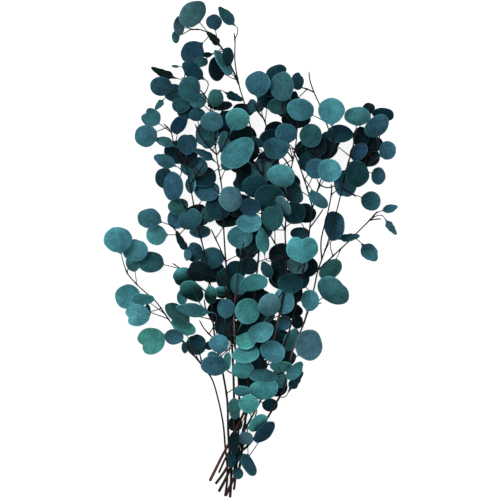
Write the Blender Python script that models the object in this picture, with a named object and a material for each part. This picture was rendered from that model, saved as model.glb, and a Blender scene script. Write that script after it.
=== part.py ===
"""A gathered bunch of nine dyed silver-dollar eucalyptus branches, lying on a surface.

Each branch is one solid: its stem, its side twigs, and every round leaf on its stalk. The routes and
the leaves are laid out in millimetres on a square sheet: x runs right from the sheet's left edge,
y runs down from its top edge, and z is the height above the surface. The tips point up the sheet.
"""

import itertools
import math
import random
from dataclasses import dataclass

import bmesh
import bpy
from mathutils import Vector
from mathutils.bvhtree import BVHTree

# Driving dimensions, in millimetres and degrees
MM = 0.001
SHEET_CENTRE = (250.7, 249.3)
BLADE_THICKNESS = 0.7
STALK_WIDTH = 1.1
ROOT_WIDTH = 0.6
STRAIGHT_WITHIN = 1.3
STALK_LENGTH = 11.0
STALK_LONGEST = 27.0
STEM_SIDES = 5
TWIG_SIDES = 3
TWIG_DIAMETER = 1.7
TIP_DIAMETER = 1.3
TAPER_POWER = 1.7
CLEARANCE = 0.4
ROUNDING = 0.001
NODE_SPACING = 5.0

# Where a leaf sits against the twig that bears it, by its level in the bunch, 0 at the back
LEVEL_LIFT = {0: -12.0, 1: -6.0, 2: 1.0, 3: 8.0, 4: 13.0}
HEIGHT_STEPS = (0, 2, -2, 4, -4, 6, -6, 8, -8, 10, -10, 13, -13, 16, -16, 20, 24)
SIDE_STEPS = ((0, 0), (3, 0), (-3, 0), (0, 3), (0, -3), (5, 4), (-5, 4), (5, -4), (-5, -4))
PRESSED = -1
FRONT_LEVEL = 2
LOWEST_CENTRE = 2.0
LOWEST_POINT = 0.4
CUPS = (0.02, 0.16)
TWIST = 0.12

# The angles of the rim points of a blade, from its tip
RIM_ANGLES = (-120, -80, -40, 0, 40, 80, 120)
SMALL_RIM_ANGLES = (-115, -58, 0, 58, 115)
SMALL_RADIUS = 10.2
CORNER_REACH = 1.03
BASE_REACH = 1.08
NOTCH_DEPTH = 0.1
NOTCH_SHARE = 0.3
STEEPEST = 72.0
LEVEL_FACING = 0.9999
FLAT_WITHIN = 0.5
FORM_STEP = 40.0
LONG_FORM = 0.8

# How a stalk bends, and which places on a twig suit it
STALK_LEAD = 0.45
ROOT_GAP = 3.0
FORWARD_BONUS = 5.0
BACKWARD = -0.3
BACKWARD_COST = 12.0
CROWDED_COST = 6.0
ROOTS_TRIED = 24
ROOTS_SKIPPED = 4
BARE_POINTS = 5
STATION_STEP = 3.0

# The leaves that fill the inside of the bunch
FILLER_SPACING = 6.0
FILLER_SIZES = (22.0, 30.0)
FILLER_NEAR = 25.0
FILLER_COMPANY = 5
FILLER_APART = 9.0
FILLER_HIGHEST = -3.0
FILLERS_MOST = 56
FILLER_ROUNDS = 4
FILLER_POSES = 70
FILLER_TURNS = (40.0, 85.0)
FILLER_STALKS = (0.8, 1.5)
FILLER_DEPTHS = (0.65, 0.98)
FILLER_SEED = 7
GAP_SHARE = 0.35

# Open places between the leaves, where the surface shows, as rows of (x, y, radius)
GAPS = (
    (222, 240, 12), (229, 254, 10), (215, 228, 7), (277, 240, 10), (290, 224, 8), (307, 226, 6),
    (317, 236, 9), (259, 261, 5), (271, 287, 9), (231, 178, 8), (245, 194, 4), (261, 122, 11),
    (271, 118, 8), (256, 131, 6), (297, 165, 8), (302, 183, 8), (286, 163, 5), (319, 127, 6),
    (343, 157, 9), (213, 160, 7), (217, 176, 6), (194, 197, 4), (208, 88, 8), (224, 86, 9), (205, 66, 5),
    (165, 118, 10), (192, 127, 5), (168, 240, 13), (166, 284, 16), (198, 304, 5), (208, 314, 7),
    (203, 326, 5), (226, 385, 12), (239, 384, 5), (302, 312, 6), (314, 320, 8), (324, 190, 8),
    (345, 208, 12), (338, 250, 12), (326, 240, 8), (295, 145, 4), (330, 128, 4), (240, 95, 10),
    (250, 120, 6), (300, 60, 20), (315, 90, 10), (165, 165, 4), (226, 375, 8), (270, 412, 6),
    (193, 52, 15), (206, 73, 11), (232, 103, 8), (212, 122, 6), (199, 148, 4), (322, 288, 10),
    (326, 306, 10), (308, 370, 9), (292, 400, 10), (283, 405, 7), (127, 297, 14), (369, 251, 14),
    (283, 312, 4), (212, 258, 5), (178, 57, 10), (160, 199, 10), (319, 221, 8),
)

LEAF_COLOUR = (0.035, 0.15, 0.155, 1.0)
LEAF_ROUGHNESS = 0.55


@dataclass(frozen=True)
class Form:
    """A blade's outline: its reach at 0, 40, 80 and 120 degrees from the tip, and width for the length."""

    reach: tuple
    width: float


ROUND = Form((1.0, 1.0, 1.0, 1.0), 1.0)
HEART = Form((0.8, 1.02, 1.0, 1.0), 1.0)
DROP = Form((1.0, 0.97, 0.93, 0.85), 0.95)
POINT = Form((1.2, 0.88, 0.74, 0.72), 0.76)
LANCE = Form((1.15, 0.64, 0.46, 0.55), 0.5)


@dataclass(frozen=True)
class Spot:
    """A leaf as it shows on the sheet, its long side turned from the sheet's right if a turn is given."""

    x: float
    y: float
    width: float
    height: float
    level: int
    turn: float = 0.0
    form: Form = ROUND


@dataclass(frozen=True)
class Branch:
    """One leafy branch: its routes are rows of (x, y, z), its leaves are spots."""

    name: str
    diameter: float
    stem: tuple
    twigs: tuple
    leaves: tuple


@dataclass(frozen=True)
class Leaf:
    """A blade in its own plane, with the stalk's root on its twig."""

    centre: Vector
    normal: Vector
    heading: Vector
    radius: float
    cup: float
    twist: float
    notch: float
    form: Form
    root: Vector


def low_left_branch():
    """The thin branch that leaves the bunch low on the left."""
    return Branch(
        "branch_low_left",
        2.6,
        (
            (225, 497, 1.4), (227, 482, 1.5), (227, 466, 1.9), (225, 447, 2.4), (223, 425, 4),
            (218, 400, 7), (211, 378, 9), (198, 361, 11), (182, 340, 12), (168, 319, 13),
            (155, 301, 13), (140, 288, 12), (128, 275, 11), (124, 266, 10),
        ),
        (
            ((211, 378, 9), (203, 366, 12), (199, 352, 14)),
        ),
        (
            Spot(118, 241, 32, 27, 3, 0, DROP), Spot(135, 250, 26, 23, 2), Spot(132, 263, 15, 18, 1),
            Spot(127, 297, 22, 26, PRESSED), Spot(143, 299, 24, 12, 1),
            Spot(137, 315, 26, 23, 3, 0, HEART), Spot(153, 307, 7, 14, 0),
            Spot(151, 341, 28, 28, 3, 0, HEART), Spot(183, 329, 30, 14, 2, -25, DROP),
            Spot(174, 336, 20, 16, 1), Spot(196, 345, 21, 21, 0), Spot(185, 348, 7, 12, 0),
            Spot(211, 345, 26, 9, 0, 20, LANCE),
        ),
    )


def left_branch():
    """The branch that runs up the left side."""
    return Branch(
        "branch_left",
        3.2,
        (
            (230, 498, 1.7), (231, 482, 1.8), (231, 465, 2.1), (229, 447, 2.6), (228, 430, 4),
            (227, 400, 8), (222, 370, 11), (215, 340, 14), (212, 310, 17), (210, 283, 20),
            (205, 255, 23), (197, 222, 25), (190, 185, 26), (184, 160, 25), (175, 149, 23),
            (171, 132, 21), (163, 123, 20),
        ),
        (
            ((208, 270, 21.5), (195, 264, 20), (188, 250, 20), (182, 239, 19), (172, 226, 17)),
            ((211, 296, 18.5), (198, 285, 16), (183, 271, 14), (172, 263, 13)),
            ((199, 230, 24.5), (187, 210, 26), (178, 197, 25), (173, 186, 24)),
            ((190, 185, 26), (199, 172, 28), (204, 164, 29)),
            ((215, 340, 14), (205, 330, 15), (199, 320, 16)),
            ((212.6, 322, 15.8), (206, 310, 17), (204, 299, 17.5)),
        ),
        (
            Spot(151, 117, 20, 19, 2, 0, HEART), Spot(146, 136, 23, 23, 3),
            Spot(166, 142, 20, 11, 2, -20, POINT), Spot(179, 124, 22, 15, 1, 50),
            Spot(187, 144, 21, 21, 1), Spot(167, 162, 24, 14, 3, -25, POINT), Spot(163, 178, 18, 22, 0),
            Spot(174, 186, 21, 30, 2), Spot(194, 167, 28, 22, 0), Spot(191, 185, 11, 17, 1),
            Spot(207, 190, 26, 21, 1), Spot(178, 207, 21, 18, 1), Spot(206, 155, 27, 9, 2, -30, LANCE),
            Spot(150, 219, 26, 22, 3, 0, DROP), Spot(157, 235, 22, 23, 2, 0, DROP),
            Spot(182, 244, 26, 8, 0, -58, LANCE), Spot(188, 255, 8, 12, 0),
            Spot(190, 219, 25, 21, 3, 30, HEART), Spot(176, 219, 19, 20, 0), Spot(209, 214, 17, 17, 1),
            Spot(200, 231, 22, 13, 0), Spot(195, 252, 18, 20, 1), Spot(212, 258, 25, 22, 2),
            Spot(183, 277, 21, 20, 2), Spot(193, 290, 27, 19, 3, -35), Spot(181, 297, 11, 16, 2),
            Spot(150, 263, 27, 22, 1), Spot(195, 311, 33, 15, 3, -8, POINT),
            Spot(176, 316, 31, 16, 1, -42),
        ),
    )


def upper_left_branch():
    """The branch that ends at the upper left."""
    return Branch(
        "branch_upper_left",
        3.4,
        (
            (219, 492, 4.5), (226, 479, 5.6), (231, 466, 6.1), (233.5, 450, 6.4), (234, 430, 8),
            (234, 400, 13), (233, 365, 18), (231, 330, 22), (228, 290, 26), (225, 250, 29),
            (223, 215, 31), (222, 189, 32), (218, 165, 32), (214, 135, 30), (210, 106, 27),
            (202, 92, 24), (192, 84, 21), (181, 77, 18),
        ),
        (
            ((217, 155, 31.5), (208, 146, 29), (200, 135, 27), (195, 124, 25)),
            ((213, 125, 29), (222, 112, 29), (229, 101, 27)),
            ((198, 88.5, 22.8), (186, 91, 20), (176, 91, 19)),
            ((217, 155, 31.5), (226, 142, 34), (229, 132, 35)),
            ((226, 262, 28.1), (220, 248, 28.5), (211, 229, 28)),
        ),
        (
            Spot(189, 89, 23, 26, 3), Spot(194, 73, 26, 17, 1, -35, POINT),
            Spot(165, 74, 29, 9, 0, -22, LANCE), Spot(161, 86, 22, 20, 3), Spot(173, 92, 20, 18, 0),
            Spot(181, 105, 19, 17, 1), Spot(198, 101, 17, 16, 2), Spot(160, 103, 14, 8, 1, 50, LANCE),
            Spot(197, 115, 17, 14, 1), Spot(212, 122, 23, 20, 3), Spot(208, 135, 24, 28, 1),
            Spot(224, 143, 13, 25, 1), Spot(216, 98, 16, 18, 2), Spot(220, 107, 26, 10, 0),
            Spot(232, 96, 21, 9, 1, -25, LANCE), Spot(227, 165, 13, 11, 1),
            Spot(237, 121, 27, 23, 3, 0, DROP), Spot(176, 66, 9, 3, 1, -5, LANCE),
        ),
    )


def top_branch():
    """The longest branch, whose tips are the top of the bunch."""
    return Branch(
        "branch_top",
        3.4,
        (
            (226, 496, 4.6), (232, 483, 5.4), (238, 472, 6.0), (240.5, 463, 6.2), (242, 450, 6.5),
            (244.5, 430, 7.2), (247, 400, 10.5), (249, 370, 17), (251, 335, 24), (254, 300, 29),
            (258, 262, 33), (261, 225, 35), (263, 190, 35), (262, 160, 34), (255, 143, 32),
            (250, 125, 30), (244, 102, 27), (239, 85, 25), (235, 62, 22), (235, 42, 20),
            (234, 32, 19),
        ),
        (
            ((239, 85, 25), (231, 66, 21), (222, 48, 17), (210, 34, 14), (200, 29, 12), (190, 29, 11)),
            ((262, 160, 34), (267, 140, 33), (265, 122, 31), (257, 110, 29), (254, 103, 28)),
            ((262, 175, 34.5), (254, 162, 36), (247, 155, 36)),
        ),
        (
            Spot(193, 14, 32, 22, 3, 40), Spot(178, 25, 11, 20, 1), Spot(175, 36, 8, 13, 0),
            Spot(215, 39, 21, 8, 0, -49, LANCE), Spot(214, 22, 18, 16, 2, 0, DROP),
            Spot(227, 18, 24, 13, 2, -48, POINT), Spot(193, 51, 27, 24, PRESSED, 0, DROP),
            Spot(201, 61, 14, 10, 1),
            Spot(222, 63, 30, 12, 2, -58), Spot(218, 68, 17, 26, 0), Spot(228, 57, 12, 20, 0),
            Spot(207, 54, 10, 5, 0), Spot(252, 106, 11, 14, 1), Spot(260, 106, 8, 12, 0),
            Spot(258, 85, 27, 28, 3, 0, DROP), Spot(237, 152, 39, 27, 3, 40),
            Spot(259, 143, 18, 8, 0, -42, LANCE), Spot(244, 173, 16, 26, 0),
        ),
    )


def centre_left_branch():
    """The shorter branch left of the middle."""
    return Branch(
        "branch_centre_left",
        2.6,
        (
            (233, 474, 6.0), (236, 463, 6.2), (237.5, 450, 6.4), (238.5, 432, 7), (239, 405, 9.8),
            (238, 375, 19), (235, 345, 24), (234, 315, 28), (236, 290, 32), (240, 262, 35),
            (244, 242, 37),
        ),
        (
            ((238, 375, 19), (229, 372, 19), (222, 366, 19)),
            ((235, 345, 24), (227, 334, 26), (222, 322, 27)),
            ((235, 302, 30), (226, 290, 33), (220, 276, 34)),
            ((240, 262, 35), (250, 254, 38), (256, 246, 40)),
            ((236.5, 360, 21.5), (244, 362, 26), (250, 363, 30)),
        ),
        (
            Spot(219, 344, 23, 19, 3, 0, DROP), Spot(214, 363, 27, 21, 1), Spot(216, 359, 20, 11, 2, -45),
            Spot(227, 361, 8, 18, 2), Spot(226, 308, 18, 20, 2), Spot(247, 311, 25, 27, 3),
            Spot(238, 284, 17, 22, 2), Spot(236, 270, 21, 20, 0), Spot(240, 236, 26, 23, 1),
            Spot(249, 224, 26, 20, 2), Spot(253, 245, 20, 20, 0), Spot(249, 266, 18, 18, 0),
            Spot(254, 282, 29, 17, 4, 10), Spot(243, 370, 23, 18, 2), Spot(247, 341, 23, 17, 3, 15),
            Spot(246, 354, 28, 18, 4, 10), Spot(211, 295, 13, 19, 1), Spot(222, 293, 17, 13, 1),
        ),
    )


def low_centre_branch():
    """The bushy branch low in the middle, with the leaves nearest the cut ends."""
    return Branch(
        "branch_low_centre",
        2.8,
        (
            (234, 490, 9.0), (235.5, 478, 11.0), (237, 463, 13.0), (240, 447, 13.6), (243, 430, 16),
            (248, 410, 20), (254, 390, 25), (260, 368, 29), (265, 345, 32), (267, 322, 35),
            (268, 304, 37),
        ),
        (
            ((248, 410, 20), (241, 400, 21), (237, 391, 22)),
            ((243, 430, 16), (252, 424, 21), (257, 411, 25)),
            ((254, 390, 25), (265, 383, 27), (275, 376, 28), (284, 372, 28)),
            ((238, 458, 13.2), (243, 458, 15), (247, 459, 15)),
            ((262.5, 357, 30.4), (270, 360, 33), (276, 362, 34)),
        ),
        (
            Spot(243, 391, 19, 11, 1), Spot(249, 404, 23, 20, 3, 0, DROP), Spot(234, 409, 13, 22, 1),
            Spot(238, 425, 15, 16, 0), Spot(257, 423, 25, 15, 2, 45, DROP), Spot(246, 438, 15, 14, 3),
            Spot(263, 431, 28, 15, 1, 48), Spot(270, 405, 16, 14, 0), Spot(249, 464, 28, 12, 1, -60, DROP),
            Spot(238, 474, 11, 12, 0),
            Spot(235, 461, 9, 15, 0), Spot(264, 390, 30, 22, 4, 12), Spot(263, 377, 30, 13, 3, -5),
            Spot(280, 379, 20, 15, 1, -60), Spot(281, 366, 23, 12, 1), Spot(260, 331, 28, 20, 3, 25),
            Spot(272, 352, 27, 21, 4, -25), Spot(259, 365, 18, 16, 0), Spot(294, 370, 23, 13, 2, 50),
            Spot(294, 383, 26, 10, 0, 55, LANCE), Spot(270, 305, 24, 22, 3, 40),
            Spot(240, 459, 15, 8, 1, 70), Spot(236, 443, 24, 11, 0, 85),
        ),
    )


def top_centre_branch():
    """The reddish branch that crosses the waist and fills the upper middle."""
    return Branch(
        "branch_top_centre",
        3.5,
        (
            (210, 481, 9), (216, 469, 9.8), (222, 457, 10.1), (232, 438, 11.2), (243, 415, 15),
            (252, 395, 19), (263, 368, 23), (272, 345, 28), (278, 320, 32), (284, 290, 36),
            (286, 258, 40), (285, 230, 42), (288, 200, 42), (291, 170, 40), (295, 150, 37),
            (297, 130, 34), (298, 112, 31), (296, 99, 29),
        ),
        (
            ((286, 258, 40), (276, 245, 42), (270, 235, 43)),
            ((285, 230, 42), (275, 215, 43), (262, 208, 42), (251, 207, 41)),
            ((288, 200, 42), (296, 192, 44), (301, 186, 44)),
            ((291, 170, 40), (283, 158, 39), (275, 163, 39)),
            ((297, 130, 34), (288, 119, 32), (282, 108, 30), (284, 100, 29)),
            ((284, 290, 36), (277, 301, 35), (276, 313, 33)),
            ((293, 160, 38.5), (286, 150, 36), (280, 142, 34)),
        ),
        (
            Spot(276, 71, 22, 14, 1, 20), Spot(283, 87, 24, 30, 3), Spot(297, 81, 13, 18, 0),
            Spot(295, 97, 8, 12, 1), Spot(278, 106, 23, 16, 1), Spot(296, 119, 30, 17, 0),
            Spot(286, 134, 23, 20, 2), Spot(311, 136, 23, 24, 2), Spot(276, 149, 27, 22, 3),
            Spot(262, 171, 25, 24, 1), Spot(281, 177, 28, 23, 4, -15), Spot(231, 199, 24, 26, 3),
            Spot(255, 187, 26, 24, 0), Spot(269, 198, 31, 29, 1), Spot(250, 206, 22, 17, 1),
            Spot(272, 218, 22, 26, 3), Spot(283, 206, 22, 12, 2, -55), Spot(294, 192, 26, 18, 1, -60),
            Spot(304, 213, 25, 20, 0), Spot(290, 284, 26, 20, 1), Spot(297, 264, 22, 18, 2),
            Spot(284, 301, 22, 27, 2), Spot(280, 266, 15, 24, 0), Spot(268, 271, 19, 12, 1, -65, POINT),
            Spot(284, 323, 16, 15, 1), Spot(297, 322, 12, 14, 0), Spot(263, 243, 27, 14, 2, 98, POINT),
        ),
    )


def top_right_branch():
    """The thin branch that ends in the bare twig at the upper right."""
    return Branch(
        "branch_top_right",
        2.5,
        (
            (219, 473, 9.5), (226, 458, 9.6), (237, 441, 11.0), (248, 424, 14), (262, 398, 18.5),
            (276, 368, 22), (287, 338, 28), (296, 305, 34), (303, 272, 38), (308, 240, 41),
            (312, 210, 42), (319, 185, 41), (327, 163, 38), (333, 143, 34), (328, 128, 30),
            (321, 108, 26), (314, 92, 22), (310, 80, 20), (309, 71, 19),
        ),
        (
            ((314, 92, 22), (307, 89, 23), (300, 87, 24)),
            ((319, 185, 41), (327, 188, 43), (335, 186, 44)),
            ((309.5, 228, 41.5), (317, 218, 43), (323, 209, 43)),
            ((304.5, 263, 38.8), (299, 268, 41), (297, 272, 42)),
            ((312.3, 208, 42), (306, 186, 43.5), (298, 163, 45), (292, 150, 45)),
        ),
        (
            Spot(331, 113, 30, 27, 4, 0, DROP), Spot(300, 110, 28, 22, 3, -10), Spot(340, 133, 28, 19, 0),
            Spot(325, 150, 26, 22, 0), Spot(306, 150, 22, 22, 0), Spot(316, 169, 22, 21, 2),
            Spot(329, 171, 24, 24, 4), Spot(302, 248, 33, 27, 4, 0, HEART), Spot(300, 233, 20, 13, 0),
            Spot(317, 200, 26, 14, 3, -38, DROP), Spot(291, 340, 26, 15, 1, 65),
        ),
    )


def right_branch():
    """The branch that runs out to the right side."""
    return Branch(
        "branch_right",
        3.2,
        (
            (216, 484, 9.2), (222, 476, 9.8), (229, 465, 10.0), (236, 456, 10.1), (245, 449, 10.3),
            (254, 439, 11), (263, 426, 12), (274, 407, 15), (284, 388, 18), (289, 365, 21),
            (294, 347, 23), (302, 328, 25), (309, 308, 27), (314, 288, 29), (318, 270, 31),
            (325, 250, 33), (332, 228, 35), (338, 205, 35), (342, 188, 34), (346, 170, 33),
            (352, 150, 31), (355, 136, 29),
        ),
        (
            (
                (318, 270, 31), (333, 256, 26), (347, 243, 20), (358, 232, 16), (370, 220, 14),
                (378, 211, 13),
            ),
            ((346, 170, 33), (357, 170, 33), (368, 166, 31), (377, 152, 29), (379, 141, 28)),
            ((342, 188, 34), (350, 193, 32), (356, 197, 30)),
            ((309, 308, 27), (316, 304, 25), (322, 303, 23)),
            ((370, 220, 14), (377, 219, 13), (382, 219, 12)),
            ((321.6, 260, 32), (321, 240, 36), (327, 215, 38.5), (331, 195, 39.5), (331, 184, 40)),
        ),
        (
            Spot(357, 117, 27, 20, 3), Spot(369, 108, 13, 12, 0), Spot(383, 114, 23, 13, 1, -10),
            Spot(376, 126, 28, 20, 3, 35), Spot(362, 137, 16, 22, 0), Spot(358, 151, 21, 16, 1, 45),
            Spot(387, 151, 18, 21, 2, 0, DROP), Spot(378, 176, 15, 18, 1), Spot(356, 174, 24, 28, 0),
            Spot(345, 184, 24, 28, 1), Spot(371, 201, 20, 20, 1), Spot(389, 209, 16, 9, 2, 15, POINT),
            Spot(390, 226, 20, 8, 2, -55, LANCE), Spot(369, 251, 22, 17, PRESSED, -48, POINT),
            Spot(333, 226, 21, 30, 1), Spot(347, 238, 24, 8, 0, 8, LANCE), Spot(330, 269, 26, 19, 1, 35),
            Spot(333, 291, 36, 25, 2, -40), Spot(310, 301, 19, 24, 3, 0, DROP), Spot(309, 345, 28, 32, 3),
        ),
    )


def all_branches():
    """The nine branches, from the surface up."""
    return (
        low_left_branch(),
        left_branch(),
        low_centre_branch(),
        upper_left_branch(),
        top_branch(),
        centre_left_branch(),
        top_centre_branch(),
        top_right_branch(),
        right_branch(),
    )


def on_sheet(point):
    """A point of the layout sheet in millimetres from the bunch's own origin."""
    x, y, z = point
    return Vector((x - SHEET_CENTRE[0], SHEET_CENTRE[1] - y, z))


def tube(points, radii, sides):
    """A closed tube through the points, as (vertices, faces)."""
    vertices = []
    faces = []
    across = Vector((0.0, 0.0, 1.0))
    for i, point in enumerate(points):
        ahead = points[min(i + 1, len(points) - 1)] - points[max(i - 1, 0)]
        ahead.normalize()
        across = (across - ahead * across.dot(ahead)).normalized()
        beside = ahead.cross(across)
        for k in range(sides):
            turn = 2 * math.pi * k / sides
            vertices.append(point + radii[i] * (math.cos(turn) * across + math.sin(turn) * beside))
    for i in range(len(points) - 1):
        for k in range(sides):
            a = i * sides + k
            b = i * sides + (k + 1) % sides
            faces.append((a, b, b + sides, a + sides))
    last = (len(points) - 1) * sides
    faces.append(tuple(reversed(range(sides))))
    faces.append(tuple(last + k for k in range(sides)))
    return vertices, faces


def taper(count, first, last):
    """Radii that fall from the first diameter to the last, fastest at the start."""
    return [(last + (first - last) * (1 - i / (count - 1)) ** TAPER_POWER) / 2 for i in range(count)]


def stem_tube(branch, grow=0.0):
    """The branch's main stem."""
    points = [on_sheet(p) for p in branch.stem]
    radii = [r + grow for r in taper(len(points), branch.diameter, TIP_DIAMETER)]
    return tube(points, radii, STEM_SIDES)


def twig_tube(route, grow=0.0):
    """A side twig, whose first point lies inside the stem."""
    points = [on_sheet(p) for p in route]
    radii = [r + grow for r in taper(len(points), TWIG_DIAMETER, TIP_DIAMETER)]
    return tube(points, radii, TWIG_SIDES)


def form_reach(form, angle):
    """How far a form's rim stands off its centre at an angle from the tip, as a share of a round leaf's."""
    steps = abs(angle) / FORM_STEP
    first = min(int(steps), len(form.reach) - 2)
    return form.reach[first] + (form.reach[first + 1] - form.reach[first]) * (steps - first)


def rim(leaf, grow=0.0):
    """The blade's outline in its own plane, round from one side of the stalk to the other."""
    half = STALK_WIDTH / 2 + grow
    base = -leaf.radius * BASE_REACH
    points = [(base, -half)]
    for angle in RIM_ANGLES if leaf.radius > SMALL_RADIUS else SMALL_RIM_ANGLES:
        turn = math.radians(angle)
        reach = leaf.radius * CORNER_REACH * form_reach(leaf.form, angle) + grow
        if angle == 0:
            reach -= leaf.radius * leaf.notch
        points.append((reach * math.cos(turn), reach * math.sin(turn)))
    points.append((base, half))
    return points


def lift(leaf, u, v):
    """How far the blade stands off its plane at a point: a shallow cup with a slight twist."""
    return (leaf.cup * (u * u + v * v) + leaf.twist * u * v) / leaf.radius


def stalk_axis(leaf):
    """The stalk's root, its bend and the blade's base."""
    base = leaf.centre - leaf.heading * leaf.radius * BASE_REACH
    base = base + leaf.normal * lift(leaf, -leaf.radius * BASE_REACH, 0.0)
    length = (base - leaf.root).length
    control = base - leaf.heading * length * STALK_LEAD
    bend = leaf.root * 0.25 + control * 0.5 + base * 0.25
    return leaf.root, bend, base


def leaf_solid(leaf, grow=0.0, stalk=True):
    """The blade and its stalk as one closed shape, or the blade alone, as (vertices, faces)."""
    beside = leaf.normal.cross(leaf.heading)
    half = leaf.normal * (BLADE_THICKNESS / 2 + grow)
    middle = []
    for u, v in rim(leaf, grow):
        middle.append(leaf.centre + leaf.heading * u + beside * v + leaf.normal * lift(leaf, u, v))
    count = len(middle)
    vertices = [p + half for p in middle] + [p - half for p in middle]
    vertices += [leaf.centre + half, leaf.centre - half]
    over = 2 * count
    under = over + 1
    faces = []
    for k in range(count):
        after = (k + 1) % count
        faces.append((k, after, over))
        faces.append((after + count, k + count, under))
    for k in range(count - 1):
        faces.append((k, k + count, k + 1))
        faces.append((k + 1, k + count, k + 1 + count))
    ring = (0, count - 1, 2 * count - 1, count)
    if stalk:
        root, bend, base = stalk_axis(leaf)
        joints = [(bend, base, STALK_WIDTH), (root, bend, ROOT_WIDTH)]
        if (bend - root.lerp(base, 0.5)).length < STRAIGHT_WITHIN:
            joints = [(root, base, ROOT_WIDTH)]
        for point, before, width in joints:
            ahead = (before - point).normalized()
            side = beside * (width / 2 + grow)
            tall = ahead.cross(side).normalized() * (width / 2 + grow)
            start = len(vertices)
            vertices += [point - side + tall, point + side + tall, point + side - tall, point - side - tall]
            new = tuple(range(start, start + 4))
            for k in range(4):
                faces.append((ring[k], new[k], new[(k + 1) % 4], ring[(k + 1) % 4]))
            ring = new
    faces.append(tuple(reversed(ring)))
    return vertices, faces


def tree_of(vertices, faces):
    """A search tree of a shape, with the shape's lowest and highest corners."""
    low = [min(v[i] for v in vertices) for i in range(3)]
    high = [max(v[i] for v in vertices) for i in range(3)]
    return BVHTree.FromPolygons(vertices, faces), low, high


class Bunch:
    """What has been placed so far, so that each new piece is kept clear of it."""

    def __init__(self):
        self.placed = []

    def add(self, shape, owner):
        """Keeps a shape under its branch's name."""
        self.placed.append((*tree_of(*shape), owner))

    def free(self, shape, skip=None):
        """Whether the shape crosses nothing placed so far, leaving out what the skipped owner holds."""
        tree, low, high = tree_of(*shape)
        for other, other_low, other_high, owner in self.placed:
            if owner == skip:
                continue
            if any(low[i] > other_high[i] or high[i] < other_low[i] for i in range(3)):
                continue
            if tree.overlap(other):
                return False
        return True


def stations(branch, step):
    """Points along the leafy part of a branch as (point, direction), every few millimetres."""
    found = []
    for route in [branch.stem[BARE_POINTS:], *branch.twigs]:
        points = [on_sheet(p) for p in route]
        for a, b in zip(points, points[1:]):
            pieces = max(1, round((b - a).length / step))
            for i in range(pieces):
                found.append((a.lerp(b, i / pieces), (b - a).normalized()))
        found.append((points[-1], (points[-1] - points[-2]).normalized()))
    return found


def roots_for(centre, radius, places, taken):
    """The likeliest places on the branch for a leaf's stalk, best first."""
    ranked = []
    for point, direction in places:
        away = Vector((centre.x - point.x, centre.y - point.y))
        reach = away.length
        if reach < radius + ROOT_GAP or reach > radius + STALK_LONGEST:
            continue
        forward = away.normalized().dot(Vector((direction.x, direction.y)))
        cost = abs(reach - radius - STALK_LENGTH) - FORWARD_BONUS * forward
        if forward < BACKWARD:
            cost += BACKWARD_COST
        if any((point - other).length < NODE_SPACING for other in taken):
            cost += CROWDED_COST
        ranked.append((cost, len(ranked), point))
    ranked.sort()
    return [point for _, _, point in ranked[:ROOTS_TRIED:ROOTS_SKIPPED]]


def leaf_at(centre, root, long_axis, tilt, radius, draw):
    """A blade through the centre that shows its true size along its long axis and less across it."""
    normal = Vector((-long_axis.y * math.sin(tilt), long_axis.x * math.sin(tilt), math.cos(tilt)))
    along = Vector((centre.x - root.x, centre.y - root.y, 0.0))
    if draw[3].width < LONG_FORM:
        side = 1.0 if along.x * long_axis.x + along.y * long_axis.y > 0 else -1.0
        along = Vector((side * long_axis.x, side * long_axis.y, 0.0))
    along.z = -(along.x * normal.x + along.y * normal.y) / normal.z
    return Leaf(centre, normal, along.normalized(), radius, *draw, root)


def axis_of(spot):
    """The direction on the sheet in which a leaf shows its long side."""
    if spot.turn:
        return Vector((math.cos(math.radians(spot.turn)), math.sin(math.radians(spot.turn))))
    return Vector((1.0, 0.0)) if spot.width >= spot.height else Vector((0.0, 1.0))


def poses_of(spot, index, places, taken, lean_up):
    """Every way to try for a leaf of the layout, the likeliest first."""
    source = random.Random(1000 * spot.x + spot.y + index)
    cup = source.uniform(*CUPS) * source.choice((1, 1, -1))
    twist = source.uniform(-TWIST, TWIST)
    notch = NOTCH_DEPTH if source.random() < NOTCH_SHARE and spot.form is ROUND else 0.0
    signs = (1, -1) if source.random() < 0.5 else (-1, 1)
    long_side = max(spot.width, spot.height)
    shown = min(1.0, min(spot.width, spot.height) / long_side / spot.form.width)
    tilt = math.acos(max(shown, math.cos(math.radians(STEEPEST))))
    pressed = spot.level == PRESSED
    if pressed:
        cup = 0.0
        twist = 0.0
        tilt = 0.0
    long_axis = axis_of(spot)
    radius = long_side / 2 / CORNER_REACH
    flat = on_sheet((spot.x, spot.y, 0.0))
    draw = (cup, twist, notch, spot.form)
    for shift_x, shift_y in SIDE_STEPS:
        centre = flat + Vector((shift_x, shift_y, 0.0))
        roots = roots_for(centre, radius, places, taken)
        for step in HEIGHT_STEPS:
            if pressed and step:
                break
            for root in roots:
                rise = LEVEL_LIFT.get(spot.level, 0.0) + (step if lean_up else -step)
                centre.z = BLADE_THICKNESS / 2 if pressed else max(root.z + rise, LOWEST_CENTRE)
                for sign in signs:
                    yield leaf_at(centre.copy(), root, long_axis, sign * tilt, radius, draw)


def fits(leaf, bunch, branch):
    """Whether a leaf lies above the surface, on a stalk of a real length, clear of everything."""
    lowest = min(v.z for v in leaf_solid(leaf)[0])
    touching = leaf.normal.z > LEVEL_FACING
    if lowest < (-ROUNDING if touching else LOWEST_POINT):
        return False
    root, _, base = stalk_axis(leaf)
    if (base - root).length > STALK_LONGEST:
        return False
    if not bunch.free(leaf_solid(leaf, CLEARANCE, stalk=False)):
        return False
    return bunch.free(stalk_solid(leaf, CLEARANCE), skip=branch.name)


def stalk_solid(leaf, grow=0.0):
    """The stalk alone, as a square tube as wide as its corners need."""
    radius = STALK_WIDTH / math.sqrt(2) + grow
    return tube(list(stalk_axis(leaf)), [radius] * 3, 4)


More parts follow.
